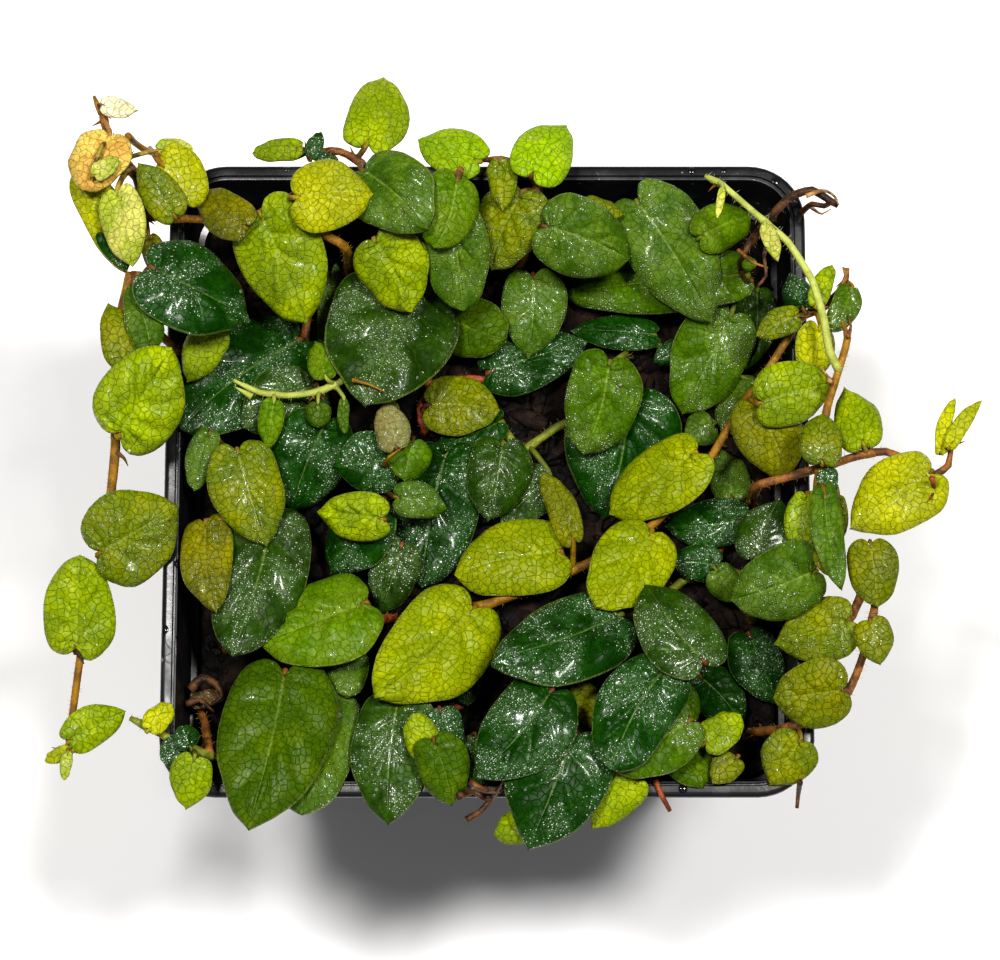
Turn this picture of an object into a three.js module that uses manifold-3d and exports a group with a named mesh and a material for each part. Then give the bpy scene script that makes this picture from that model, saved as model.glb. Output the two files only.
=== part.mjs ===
// A small square nursery pot filled with creeping fig: rooted leafy vines that lie over each other,
// reach over the rim and trail beside the pot. Millimetres, +Z up, the origin under the pot's middle.

import * as THREE from "three";
import Module from "manifold-3d";

// Pot
const POT_WIDTH = 90;
const POT_HEIGHT = 80;
const BASE_WIDTH = 65;
const RIM_CORNER = 8;
const BASE_CORNER = 6;
const COLLAR_HEIGHT = 13.4;
const COLLAR_OVERHANG = 3.1;
const COLLAR_DRAFT = 1.5;
const COLLAR_FOOT_RISE = 0.5;
const LIP_WIDTH = 2.1;
const LIP_HEIGHT = 1.4;
const LIP_STEP = 0.5;
const LIP_ROUND = 0.4;
const INNER_DRAFT = 0.9;
const LEDGE_RISE = 1.2;
const WALL = 1.2;
const BODY_WALL = 1;
const FOOT_ROUND = 0.8;
const FLOOR_THICKNESS = 2.2;
const DRAIN_RADIUS = 3;
const DRAIN_OFFSET = 21.5;
const DRAIN_SIDES = 8;
const CORNER_STEPS = 4;
const POT_COLOR = 0x17181a;
const POT_ROUGHNESS = 0.4;

// Soil
const SOIL_LEVEL = 68;
const SOIL_RELIEF = 0.7;
const SOIL_EDGE_DROP = 1.2;
const SOIL_RINGS = [0.97, 0.66, 0.33];
const SEAT_GAP = 0.3;
const ROOT_HOLE_GAP = 0.45;
const ROOT_HOLE_SIDES = 6;
const SOIL_COLOR = 0x1d1611;
const SOIL_ROUGHNESS = 0.95;

// Vines
const ROOT_DEPTH = 8;
const ROOT_COLLAR = 1.2;
const STEM_RADIUS = 0.85;
const STEM_TIP_RADIUS = 0.55;
const STEM_STEP = 8.5;
const STEM_SIDES = 4;
const STEM_MARGIN = 0.5;
const SIDE_STEM_SHARE = 0.9;
const DRAPE_PASSES = 12;
const LAID_MARGIN = 0.7;
const LAID_GAP = 0.15;
const STALK_HALF = 0.36;
const SHORT_STALK = 4.5;
const STALK_BACK = 0.8;
const STALK_DROP = 0.45;
const STALK_BEND = 0.3;
const SMALL_LEAF = 11.5;
const BLADE_THICKNESS = 0.65;
const BLADE_TOP = 1.15;
const CROWN = 0.07;
const NOTCH_CROWN = 0.6;
const BLADE_SKEW = 0.03;
const BLADE_TURN = 0.35;
const CLEARANCE = 0.35;
const BLADE_MARGIN = 0.6;
const LEAF_RISE = 1.1;
const SLOPES_ALONG = [-0.36, -0.24, -0.12, 0, 0.12, 0.24, 0.36];
const SLOPES_ACROSS = [-0.3, -0.15, 0, 0.15, 0.3];
const SLOPE_COST = 1.5;
const USUAL_RISE = -0.06;
const WEIGHT_POINT = 0.45;
const FIELD_REACH = 80;
const QUARTERS = 4;
const LEAF_ROUGHNESS = 0.42;

// Leaves and stems are laid out on a plan sheet that is seen from 12 degrees off the vertical.
const SHEET = {
  centre: [500, 480],
  aim: [1.8, -0.7, 80],
  elevation: THREE.MathUtils.degToRad(78),
  distance: 490,
  unitsPerMm: 7.18,
};

// Half of a heart-shaped blade, from its notch to its tip: [share of the length, share of the half width].
const BLADE_NOTCH = 0.03;
const BLADE_SIDE = [[-0.07, 0.45], [0.1, 0.92], [0.42, 0.97], [0.78, 0.5]];
const SMALL_BLADE_SIDE = [[-0.04, 0.66], [0.36, 1], [0.76, 0.54]];
const BLADE_TIP = [1, 0];
const BLADE_RIB = [[0.3, 0], [0.65, 0]];

// Each vine in the order in which it lies over the others. level is its usual height, color that of most of
// its leaves, stems are [x, y] or [x, y, height] on the sheet with the root first, and leaves are
// [base x, base y, tip x, tip y, width].
const VINES = [
  {
    name: "old_vine_right",
    level: 72,
    color: 0x1f4d16,
    stems: [
      [[700, 412], [705, 385], [722, 345], [748, 312], [768, 290]],
      [[705, 385], [685, 358], [655, 340]],
    ],
    leaves: [
      [757, 292, 746, 370, 44],
      [652, 336, 570, 330, 38],
      [678, 346, 653, 362, 22],
      [756, 388, 722, 430, 46],
      [712, 426, 684, 438, 36],
    ],
  },
  {
    name: "old_vine_centre",
    level: 72,
    color: 0x1d4a14,
    stems: [
      [[634, 374], [600, 405], [557, 424], [520, 450], [480, 468], [445, 480]],
      [[520, 450], [503, 424]],
    ],
    leaves: [
      [628, 398, 604, 516, 120],
      [500, 424, 436, 446, 42],
      [446, 456, 422, 585, 96],
      [548, 478, 500, 524, 50],
      [502, 446, 488, 520, 66],
    ],
  },
  {
    name: "old_vine_left",
    level: 73,
    color: 0x1c4c12,
    stems: [
      [[307, 306], [303, 345], [314, 385], [326, 418]],
      [[307, 306], [322, 284]],
    ],
    leaves: [
      [330, 276, 322, 384, 28],
      [296, 336, 184, 434, 100],
      [312, 384, 245, 430, 70],
      [325, 424, 289, 506, 80],
    ],
  },
  {
    name: "old_vine_middle",
    level: 73,
    color: 0x24521a,
    stems: [
      [[380, 505], [392, 478], [398, 452]],
      [[380, 505], [382, 530], [396, 550]],
    ],
    leaves: [
      [402, 548, 380, 612, 50],
      [374, 514, 330, 572, 66],
      [392, 456, 335, 466, 62],
      [412, 442, 404, 480, 44],
      [398, 500, 446, 508, 38],
      [396, 448, 384, 404, 36],
      [383, 520, 316, 508, 49],
    ],
  },
  {
    name: "front_left_vine",
    level: 75,
    color: 0x2a541c,
    stems: [
      [[354, 726], [364, 708], [400, 702], [436, 706], [462, 700], [470, 680]],
      [[364, 708], [345, 695], [325, 688]],
      [[436, 706], [446, 728], [456, 742]],
    ],
    leaves: [
      [322, 692, 303, 815, 88],
      [346, 652, 350, 698, 44],
      [463, 660, 468, 706, 38],
      [398, 702, 388, 824, 82],
      [476, 738, 482, 786, 40],
      [440, 712, 458, 750, 38],
      [433, 754, 413, 714, 36],
      [434, 742, 451, 803, 52],
    ],
  },
  {
    name: "front_middle_vine",
    level: 76,
    color: 0x26500f,
    stems: [
      [[588, 694], [568, 704], [554, 695]],
      [[568, 704], [575, 725], [584, 750], [604, 776]],
    ],
    leaves: [
      [636, 782, 592, 826, 40],
      [530, 826, 495, 834, 34],
      [580, 690, 604, 732, 36],
      [574, 737, 528, 850, 100],
      [551, 693, 476, 778, 86],
    ],
  },
  {
    name: "centre_right_vine",
    level: 75,
    color: 0x1e4a16,
    stems: [
      [[752, 572], [716, 561], [688, 572], [655, 598], [624, 614]],
      [[716, 561], [726, 530], [740, 505]],
    ],
    leaves: [
      [731, 498, 722, 448, 42],
      [740, 522, 664, 524, 50],
      [717, 566, 674, 560, 38],
      [716, 572, 738, 602, 34],
      [619, 615, 493, 666, 90],
      [758, 556, 780, 500, 58],
    ],
  },
  {
    name: "centre_shoot",
    level: 75,
    color: 0x4d6416,
    stems: [
      [[424, 420], [420, 402], [430, 380], [462, 370], [490, 372]],
      [[430, 380], [424, 366]],
    ],
    leaves: [
      [490, 374, 587, 344, 64],
      [430, 404, 500, 411, 63],
    ],
  },
  {
    name: "right_centre_vine",
    level: 76,
    color: 0x2a5a1c,
    stems: [[[626, 350], [614, 364], [603, 378]]],
    leaves: [[609, 366, 584, 450, 77]],
  },
  {
    name: "back_right_vine",
    level: 78,
    color: 0x24521a,
    stems: [
      [[748, 266], [732, 262], [704, 246], [668, 218], [640, 204]],
      [[732, 262, 80], [768, 220, 83], [790, 197, 85], [812, 190, 86], [838, 206, 86]],
    ],
    leaves: [
      [730, 316, 684, 408, 78],
      [736, 284, 563, 286, 66],
      [676, 212, 702, 216, 20],
      [637, 204, 712, 320, 88],
      [700, 240, 751, 213, 48],
    ],
  },
  {
    name: "back_middle_vine",
    level: 79,
    color: 0x4a7a1c,
    stems: [
      [[512, 272], [526, 244], [540, 208], [533, 182], [508, 166], [480, 164]],
      [[512, 272], [534, 277]],
      [[526, 244], [500, 236], [482, 230]],
    ],
    leaves: [
      [533, 280, 528, 359, 68],
      [480, 236, 480, 290, 20],
      [522, 198, 492, 266, 72],
      [584, 206, 623, 214, 26],
      [546, 228, 629, 255, 78],
      [500, 163, 503, 210, 29],
      [478, 165, 419, 138, 52],
      [532, 182, 566, 125, 62],
    ],
  },
  {
    name: "light_green_shoot",
    level: 77,
    color: 0x5c9420,
    stems: [[[393, 394], [372, 386], [351, 380], [320, 397], [290, 403], [262, 400], [236, 388]]],
    leaves: [
      [344, 402, 345, 434, 12],
      [318, 404, 318, 427, 26],
      [274, 404, 268, 447, 26],
      [326, 378, 315, 340, 30],
    ],
  },
  {
    name: "back_vine",
    level: 79,
    color: 0x2c5a24,
    stems: [
      [[438, 262], [412, 272], [396, 262], [384, 230], [372, 198], [362, 168], [340, 156], [308, 158]],
      [[384, 230], [420, 222], [452, 200], [462, 180]],
    ],
    leaves: [
      [452, 318, 506, 344, 62],
      [400, 282, 367, 411, 132],
      [450, 212, 463, 304, 70],
      [376, 242, 412, 308, 72],
      [420, 206, 396, 174, 34],
      [456, 181, 434, 246, 56],
      [365, 168, 427, 234, 80],
      [300, 151, 252, 151, 24],
      [312, 158, 321, 132, 18],
      [330, 156, 322, 177, 24],
      [368, 148, 383, 72, 64],
    ],
  },
  {
    name: "back_left_vine",
    level: 82,
    color: 0x8a941c,
    stems: [
      [[345, 252], [315, 236], [284, 206], [250, 226], [178, 221, 83], [146, 218, 84]],
      [[146, 218, 84], [137, 178, 86], [111, 145, 88], [102, 112, 90]],
    ],
    leaves: [
      [262, 218, 305, 316, 85],
      [298, 199, 373, 192, 74],
      [246, 230, 200, 190, 45],
      [160, 152, 192, 148, 24],
      [184, 203, 172, 143, 54],
      [174, 214, 138, 163, 40],
      [146, 228, 158, 270, 24],
      [88, 186, 124, 268, 44],
      [104, 234, 126, 268, 26],
      [119, 196, 131, 262, 46],
      [111, 140, 84, 192, 60],
      [96, 176, 119, 160, 20],
      [104, 108, 138, 112, 22],
    ],
  },
  {
    name: "left_trailing_vine",
    level: 81,
    color: 0x71921e,
    stems: [
      [[222, 292], [190, 298], [160, 296], [136, 286, 83]],
      [[136, 286], [156, 338], [180, 354]],
      [
        [136, 286, 83], [124, 340, 83], [119, 400, 82], [119, 455, 80], [111, 520, 79],
        [103, 575, 77], [84, 650, 75], [74, 712, 74], [67, 752, 73],
      ],
    ],
    leaves: [
      [216, 332, 187, 379, 42],
      [125, 362, 108, 303, 40],
      [150, 344, 128, 286, 36],
      [152, 273, 249, 315, 95],
      [117, 427, 172, 350, 84],
      [99, 552, 178, 505, 90],
      [75, 647, 81, 558, 72],
      [72, 742, 126, 712, 40],
      [70, 752, 45, 760, 16],
      [68, 754, 64, 780, 12],
    ],
  },
  {
    name: "bottom_left_shoot",
    level: 79,
    color: 0x6c8a1e,
    stems: [
      [[236, 752], [210, 757], [182, 747], [152, 729, 82], [130, 718, 82]],
      [[210, 757], [204, 724], [196, 702]],
    ],
    leaves: [
      [192, 700, 226, 692, 18],
      [186, 746, 161, 760, 34],
      [190, 746, 180, 726, 26],
      [150, 729, 171, 704, 26],
      [195, 760, 185, 808, 42],
    ],
  },
  {
    name: "bright_runner",
    level: 81,
    color: 0x84a012,
    stems: [
      [
        [377, 660], [382, 630], [400, 607], [440, 600], [490, 592], [540, 573], [585, 555],
        [625, 536], [658, 514], [690, 480], [714, 450], [735, 415], [760, 382], [785, 344],
        [802, 319], [820, 310, 84], [845, 285, 85], [847, 268, 86],
      ],
      [[400, 607], [372, 617], [335, 643], [300, 666], [284, 672]],
    ],
    leaves: [
      [284, 671, 250, 830, 113],
      [365, 605, 261, 645, 93],
      [472, 605, 378, 700, 100],
      [560, 548, 455, 569, 80],
      [572, 540, 543, 472, 32],
      [695, 456, 611, 509, 75],
      [650, 532, 595, 612, 80],
      [803, 308, 792, 272, 30],
      [796, 318, 757, 334, 30],
      [818, 330, 806, 378, 40],
      [816, 305, 832, 266, 22],
      [850, 290, 831, 332, 30],
      [755, 405, 788, 477, 68],
      [762, 400, 836, 382, 62],
    ],
  },
  {
    name: "left_inner_vine",
    level: 78,
    color: 0x4c6a1c,
    stems: [[[222, 636], [230, 592], [240, 545], [250, 500], [243, 460]]],
    leaves: [
      [216, 452, 200, 503, 30],
      [272, 512, 235, 657, 98],
      [204, 520, 216, 612, 54],
      [238, 452, 266, 545, 74],
    ],
  },
  {
    name: "front_right_vine",
    level: 79,
    color: 0x24541a,
    stems: [
      [[754, 630], [724, 645], [692, 658], [663, 666]],
      [[663, 666], [672, 700], [696, 728], [718, 756]],
    ],
    leaves: [
      [700, 678, 745, 728, 52],
      [748, 637, 776, 702, 58],
      [682, 738, 702, 788, 50],
      [684, 690, 694, 722, 24],
      [735, 760, 712, 784, 30],
      [706, 744, 741, 716, 38],
      [688, 722, 615, 772, 64],
      [663, 670, 610, 771, 80],
      [702, 665, 646, 582, 75],
    ],
  },
  {
    name: "right_lower_vine",
    level: 82,
    color: 0x7d921c,
    stems: [
      [[756, 722], [785, 728], [830, 712], [851, 686], [863, 655, 84], [874, 608, 85], [869, 560, 87]],
      [[870, 575, 86], [859, 600, 85], [848, 624, 84]],
    ],
    leaves: [
      [799, 742, 771, 784, 55],
      [848, 622, 776, 642, 64],
      [843, 690, 774, 697, 66],
      [870, 623, 880, 665, 38],
      [870, 545, 878, 606, 51],
    ],
  },
  {
    name: "right_long_vine",
    level: 83,
    color: 0x94981c,
    stems: [
      [
        [757, 486], [790, 477], [828, 467], [860, 457, 83], [885, 453, 84], [910, 462, 85],
        [934, 476, 85], [948, 466, 86], [951, 446, 87],
      ],
    ],
    leaves: [
      [838, 500, 842, 540, 16],
      [862, 446, 845, 386, 48],
      [930, 474, 851, 527, 75],
      [940, 452, 955, 398, 15],
      [950, 446, 982, 400, 17],
    ],
  },
  {
    name: "right_hanging_vine",
    level: 85,
    color: 0x4c6a30,
    stems: [
      [
        [760, 600], [790, 588], [812, 564], [813, 535], [817, 487, 84], [819, 450, 85], [826, 410, 86],
        [838, 372, 88], [847, 340, 89], [842, 324, 89],
      ],
      [
        [838, 372, 88], [829, 352, 90], [824, 320, 92], [812, 280, 93], [788, 242, 93],
        [765, 222, 93], [722, 186, 92], [705, 176, 92],
      ],
    ],
    leaves: [
      [806, 497, 800, 556, 34],
      [814, 573, 732, 597, 70],
      [818, 552, 830, 576, 18],
      [826, 470, 832, 494, 22],
      [822, 462, 822, 415, 42],
      [824, 492, 841, 591, 33],
      [766, 228, 778, 262, 17],
      [722, 190, 717, 218, 8],
    ],
  },
];

const wasm = await Module();
wasm.setup();

/** Turns a point of the plan sheet into [x, y] at height z, along the sheet's line of sight. */
function fromSheet(sheetX, sheetY, z) {
  const sin = Math.sin(SHEET.elevation);
  const cos = Math.cos(SHEET.elevation);
  const right = (sheetX - SHEET.centre[0]) / SHEET.unitsPerMm;
  const up = (SHEET.centre[1] - sheetY) / SHEET.unitsPerMm;
  const eyeY = SHEET.aim[1] - cos * SHEET.distance;
  const eyeZ = SHEET.aim[2] + sin * SHEET.distance;
  const share = (z - eyeZ) / (cos * up - sin * SHEET.distance);
  return [
    SHEET.aim[0] + share * right,
    eyeY + share * (cos * SHEET.distance + sin * up),
  ];
}

/** Points of a square with rounded corners, anticlockwise from above. */
function squareRing(half, corner, z) {
  const ring = [];
  for (let quarter = 0; quarter < 4; quarter++) {
    for (let step = 0; step <= CORNER_STEPS; step++) {
      const angle = (quarter + step / CORNER_STEPS) * (Math.PI / 2);
      const sideX = quarter === 0 || quarter === 3 ? 1 : -1;
      const sideY = quarter < 2 ? 1 : -1;
      ring.push([
        sideX * (half - corner) + corner * Math.cos(angle),
        sideY * (half - corner) + corner * Math.sin(angle),
        z,
      ]);
    }
  }
  return ring;
}

/** A solid from points and triangles that close on themselves and face out. */
function solidFrom(points, triangles) {
  return new wasm.Manifold(
    new wasm.Mesh({
      numProp: 3,
      vertProperties: new Float32Array(points.flat()),
      triVerts: new Uint32Array(triangles.flat()),
    }),
  );
}

/** Skins rings of equal count, from a point below the first to a point above the last. */
function skinRings(rings, firstPoint, lastPoint) {
  const count = rings[0].length;
  const points = [...rings.flat(), firstPoint, lastPoint];
  const first = points.length - 2;
  const last = points.length - 1;
  const triangles = [];
  for (let i = 0; i < count; i++) {
    const next = (i + 1) % count;
    triangles.push([first, next, i]);
    for (let ring = 0; ring < rings.length - 1; ring++) {
      const low = ring * count;
      const high = low + count;
      triangles.push([low + i, low + next, high + next], [low + i, high + next, high + i]);
    }
    const top = (rings.length - 1) * count;
    triangles.push([top + i, top + next, last]);
  }
  return solidFrom(points, triangles);
}

/** The pot: a tapered square body, a collar with a lip round its mouth, and drain holes in its floor. */
function makePot() {
  const collarFoot = POT_HEIGHT - COLLAR_HEIGHT;
  const rim = POT_WIDTH / 2;
  const base = BASE_WIDTH / 2;
  const bodyTop = rim - COLLAR_OVERHANG;
  const inner = rim - LIP_WIDTH;
  const ledge = bodyTop - BODY_WALL;
  const rimRing = (inset, z) => [rim - inset, RIM_CORNER - inset, z];
  const profile = [
    [base - FOOT_ROUND, BASE_CORNER - FOOT_ROUND, 0],
    [base, BASE_CORNER, FOOT_ROUND],
    [bodyTop, RIM_CORNER - COLLAR_OVERHANG + LIP_STEP, collarFoot],
    rimRing(COLLAR_DRAFT, collarFoot + COLLAR_FOOT_RISE),
    rimRing(LIP_STEP, POT_HEIGHT - LIP_HEIGHT),
    rimRing(0, POT_HEIGHT - LIP_HEIGHT + LIP_ROUND),
    rimRing(0, POT_HEIGHT - LIP_ROUND),
    rimRing(LIP_ROUND, POT_HEIGHT),
    [inner, RIM_CORNER - LIP_WIDTH, POT_HEIGHT],
    [inner - INNER_DRAFT, RIM_CORNER - LIP_WIDTH - INNER_DRAFT, collarFoot + LEDGE_RISE + LIP_STEP],
    [ledge, RIM_CORNER - COLLAR_OVERHANG - LIP_STEP, collarFoot + LEDGE_RISE],
    [base - WALL, BASE_CORNER - WALL, FLOOR_THICKNESS],
  ];
  const rings = profile.map(([half, corner, z]) => squareRing(half, corner, z));
  let pot = skinRings(rings, [0, 0, 0], [0, 0, FLOOR_THICKNESS]);
  for (const [x, y] of drainCentres()) {
    pot = pot.subtract(prism(x, y, DRAIN_RADIUS, DRAIN_SIDES, -WALL, FLOOR_THICKNESS + WALL));
  }
  return pot;
}

/** Drain holes in the four corners of the floor and half-way along its sides. */
function drainCentres() {
  const centres = [];
  for (const x of [-DRAIN_OFFSET, 0, DRAIN_OFFSET]) {
    for (const y of [-DRAIN_OFFSET, 0, DRAIN_OFFSET]) {
      if (x !== 0 || y !== 0) centres.push([x, y]);
    }
  }
  return centres;
}

/** An upright prism with regular sides. */
function prism(x, y, radius, sides, low, high) {
  const ring = (z) =>
    Array.from({ length: sides }, (_, i) => {
      const angle = ((i + 0.5) / sides) * 2 * Math.PI;
      return [x + radius * Math.cos(angle), y + radius * Math.sin(angle), z];
    });
  return skinRings([ring(low), ring(high)], [x, y, low], [x, y, high]);
}

/** The height of the soil's crumbly top at a place in the pot. */
function soilHeight(x, y) {
  const wave = Math.sin(0.37 * x + 1.3 * Math.cos(0.21 * y)) * Math.cos(0.29 * y - 0.4);
  return SOIL_LEVEL + SOIL_RELIEF * wave;
}

/** The soil: a block that fills the pot's body, with a plain hole round each root. */
function makeSoil(roots) {
  const topHalf = POT_WIDTH / 2 - COLLAR_OVERHANG - WALL - SEAT_GAP;
  const floorHalf = BASE_WIDTH / 2 - WALL - SEAT_GAP;
  const corner = RIM_CORNER - COLLAR_OVERHANG - WALL + LIP_STEP;
  const low = FLOOR_THICKNESS + SEAT_GAP;
  const rings = [squareRing(floorHalf, BASE_CORNER - WALL, low)];
  rings.push(squareRing(topHalf, corner, SOIL_LEVEL - SOIL_EDGE_DROP));
  for (const share of SOIL_RINGS) {
    const ring = squareRing(topHalf * share, corner * share, 0);
    rings.push(ring.map(([x, y]) => [x, y, soilHeight(x, y)]));
  }
  let soil = skinRings(rings, [0, 0, low], [0, 0, soilHeight(0, 0)]);
  const holeRadius = STEM_RADIUS + ROOT_HOLE_GAP;
  const holeFoot = SOIL_LEVEL - ROOT_DEPTH - SEAT_GAP;
  const holeTop = SOIL_LEVEL + 2 * ROOT_COLLAR;
  for (const [x, y] of roots) {
    soil = soil.subtract(prism(x, y, holeRadius, ROOT_HOLE_SIDES, holeFoot, holeTop));
  }
  return soil;
}

/** The highest thing so far over each square millimetre, on which the next stem or leaf comes to lie. */
class HeightField {
  constructor(reach) {
    this.reach = reach;
    this.size = 2 * reach;
    this.tops = new Float64Array(this.size * this.size);
    this.each(-reach, -reach, reach, reach, (x, y, cell) => {
      this.tops[cell] = HeightField.potHeight(x, y);
    });
  }

  /** The soil, the rim or the ground at a place. */
  static potHeight(x, y) {
    const rim = POT_WIDTH / 2;
    const nearCorner = Math.hypot(
      Math.max(Math.abs(x) - (rim - RIM_CORNER), 0),
      Math.max(Math.abs(y) - (rim - RIM_CORNER), 0),
    );
    const nearEdge = Math.max(Math.abs(x), Math.abs(y)) > rim - RIM_CORNER;
    const out = nearEdge ? nearCorner - RIM_CORNER : -RIM_CORNER;
    if (out > LAID_MARGIN) return 0;
    if (out > -LIP_WIDTH - INNER_DRAFT) return POT_HEIGHT;
    return SOIL_LEVEL + SOIL_RELIEF;
  }

  /** Calls visit(x, y, cell) for each cell whose middle lies in a box. */
  each(lowX, lowY, highX, highY, visit) {
    const clampCell = (value) => Math.min(this.size - 1, Math.max(0, Math.floor(value + this.reach)));
    for (let row = clampCell(lowY); row <= clampCell(highY); row++) {
      for (let column = clampCell(lowX); column <= clampCell(highX); column++) {
        visit(column + 0.5 - this.reach, row + 0.5 - this.reach, row * this.size + column);
      }
    }
  }

  /** Calls visit(share, cell) for each cell within a distance of the line from a to b. */
  eachAlong(a, b, distance, visit) {
    const dx = b[0] - a[0];
    const dy = b[1] - a[1];
    const lengthSquared = Math.max(dx * dx + dy * dy, 1e-9);
    this.each(
      Math.min(a[0], b[0]) - distance,
      Math.min(a[1], b[1]) - distance,
      Math.max(a[0], b[0]) + distance,
      Math.max(a[1], b[1]) + distance,
      (x, y, cell) => {
        const share = Math.min(1, Math.max(0, ((x - a[0]) * dx + (y - a[1]) * dy) / lengthSquared));
        if (Math.hypot(x - a[0] - share * dx, y - a[1] - share * dy) <= distance) visit(share, cell);
      },
    );
  }

  /** The highest top within a distance of the line from a to b. */
  highest(a, b, distance) {
    let top = 0;
    this.eachAlong(a, b, distance, (_, cell) => {
      top = Math.max(top, this.tops[cell]);
    });
    return top;
  }

  /** Lays a round stem from a to b over what is there. */
  layStem(a, b, radius) {
    this.eachAlong(a, b, radius + LAID_MARGIN, (share, cell) => {
      const top = a[2] + share * (b[2] - a[2]) + radius + LAID_GAP;
      this.tops[cell] = Math.max(this.tops[cell], top);
    });
  }
}

/** Points along a smooth line through the given ones, about a stem step apart. */
function smoothLine(points) {
  const line = [points[0]];
  for (let i = 0; i < points.length - 1; i++) {
    const [p0, p1, p2, p3] = [points[Math.max(i - 1, 0)], points[i], points[i + 1],
      points[Math.min(i + 2, points.length - 1)]];
    const steps = Math.max(1, Math.round(Math.hypot(p2[0] - p1[0], p2[1] - p1[1]) / STEM_STEP));
    for (let step = 1; step <= steps; step++) {
      const t = step / steps;
      line.push(
        [0, 1, 2].map((axis) => {
          const [a, b, c, d] = [p0[axis], p1[axis], p2[axis], p3[axis]];
          return (
            b +
            0.5 * t * (c - a + t * (2 * a - 5 * b + 4 * c - d + t * (3 * (b - c) + d - a)))
          );
        }),
      );
    }
  }
  return line;
}

/** A stem's line on the field: over what lies below it, and drawn smooth between the high places. */
function drapeStem(field, vine, stem, start) {
  const points = stem.map(([x, y, height]) => [...fromSheet(x, y, height ?? vine.level), height ?? 0]);
  if (start) {
    points[0] = start;
  }
  const line = smoothLine(points);
  const needed = line.map(() => 0);
  for (let i = 0; i < line.length - 1; i++) {
    const below = field.highest(line[i], line[i + 1], STEM_RADIUS + STEM_MARGIN);
    const top = below + STEM_RADIUS + CLEARANCE;
    needed[i] = Math.max(needed[i], top);
    needed[i + 1] = Math.max(needed[i + 1], top);
  }
  const free = stem.some((point) => point.length > 2);
  for (let i = 0; i < line.length; i++) {
    if (start && i === 0) continue;
    line[i][2] = Math.max(needed[i], free ? line[i][2] : 0);
  }
  for (let pass = 0; pass < DRAPE_PASSES; pass++) {
    for (let i = 1; i < line.length - 1; i++) {
      line[i][2] = Math.max(line[i][2], 0.5 * (line[i - 1][2] + line[i + 1][2]));
    }
  }
  return line;
}

/** A closed stem with flat sides along a line, thinner towards its end. */
function tube(line, startRadius, endRadius, sides) {
  const points = line.map((point) => new THREE.Vector3(...point));
  const side = new THREE.Vector3(0.36, 0.93, 0.05);
  const rings = points.map((point, i) => {
    const tangent = points[Math.min(i + 1, points.length - 1)].clone();
    tangent.sub(points[Math.max(i - 1, 0)]).normalize();
    side.addScaledVector(tangent, -side.dot(tangent)).normalize();
    const up = new THREE.Vector3().crossVectors(tangent, side);
    const radius = THREE.MathUtils.lerp(startRadius, endRadius, i / (points.length - 1));
    return Array.from({ length: sides }, (_, k) => {
      const angle = (k / sides) * 2 * Math.PI;
      const corner = point.clone().addScaledVector(side, radius * Math.cos(angle));
      return corner.addScaledVector(up, radius * Math.sin(angle)).toArray();
    });
  });
  return skinRings(rings, line[0].slice(), line[line.length - 1].slice());
}

/** The half width of a blade at a share of its length, as a share of its greatest half width. */
function bladeHalfWidth(share) {
  const outline = [...BLADE_SIDE, BLADE_TIP];
  const s = Math.min(Math.max(share, 0.02), 0.96);
  const i = outline.findIndex((point) => point[0] >= s);
  const [a, b] = [outline[i - 1], outline[i]];
  return a[1] + ((s - a[0]) / (b[0] - a[0])) * (b[1] - a[1]);
}

/** A leaf's place on the plan when it lies at a height, with the cells of the field that it covers. */
function leafAt(field, entry, z) {
  const base = fromSheet(entry[0], entry[1], z);
  const tip = fromSheet(entry[2], entry[3], z);
  const length = Math.hypot(tip[0] - base[0], tip[1] - base[1]);
  const along = [(tip[0] - base[0]) / length, (tip[1] - base[1]) / length];
  const half = entry[4] / SHEET.unitsPerMm / 2;
  const reach = half + BLADE_MARGIN;
  const cells = [];
  field.each(
    Math.min(base[0], tip[0]) - reach,
    Math.min(base[1], tip[1]) - reach,
    Math.max(base[0], tip[0]) + reach,
    Math.max(base[1], tip[1]) + reach,
    (x, y, cell) => {
      const p = (x - base[0]) * along[0] + (y - base[1]) * along[1];
      const q = (y - base[1]) * along[0] - (x - base[0]) * along[1];
      const inLength = p > -0.07 * length - BLADE_MARGIN && p < length + BLADE_MARGIN;
      const inWidth = Math.abs(q) < half * bladeHalfWidth(p / length) + BLADE_MARGIN;
      if (inLength && inWidth) cells.push([p, q, cell]);
    },
  );
  return { base, along, length, half, cells };
}

/** The lowest way to lie: it tries each pair of slopes over what the leaf covers. */
function lowestSlopes(field, leaf, stemHeight) {
  let best = null;
  for (const rise of SLOPES_ALONG) {
    for (const roll of SLOPES_ACROSS) {
      let height = stemHeight + LEAF_RISE;
      for (const [p, q, cell] of leaf.cells) {
        height = Math.max(height, field.tops[cell] + CLEARANCE - rise * p - roll * q);
      }
      const tilt = Math.abs(rise - USUAL_RISE) + Math.abs(roll);
      const cost = height + rise * leaf.length * WEIGHT_POINT + SLOPE_COST * tilt;
      if (!best || cost < best.cost - 1e-9) best = { cost, height, rise, roll };
    }
  }
  return best;
}

/** Lays a leaf down on the field, at the place where the plan shows it at the height it comes to. */
function settleLeaf(field, vine, entry, stemHeight) {
  let leaf = leafAt(field, entry, vine.level);
  let way = lowestSlopes(field, leaf, stemHeight);
  leaf = leafAt(field, entry, way.height + WEIGHT_POINT * leaf.length * way.rise);
  way = lowestSlopes(field, leaf, stemHeight);
  for (const [p, q, cell] of leaf.cells) {
    const arch = CROWN * 2 * leaf.half * (1 - Math.min(1, Math.abs(q) / leaf.half));
    const top = way.height + way.rise * p + way.roll * q + arch + BLADE_TOP * BLADE_THICKNESS;
    field.tops[cell] = Math.max(field.tops[cell], top);
  }
  return { ...leaf, height: way.height, rise: way.rise, roll: way.roll };
}

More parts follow.
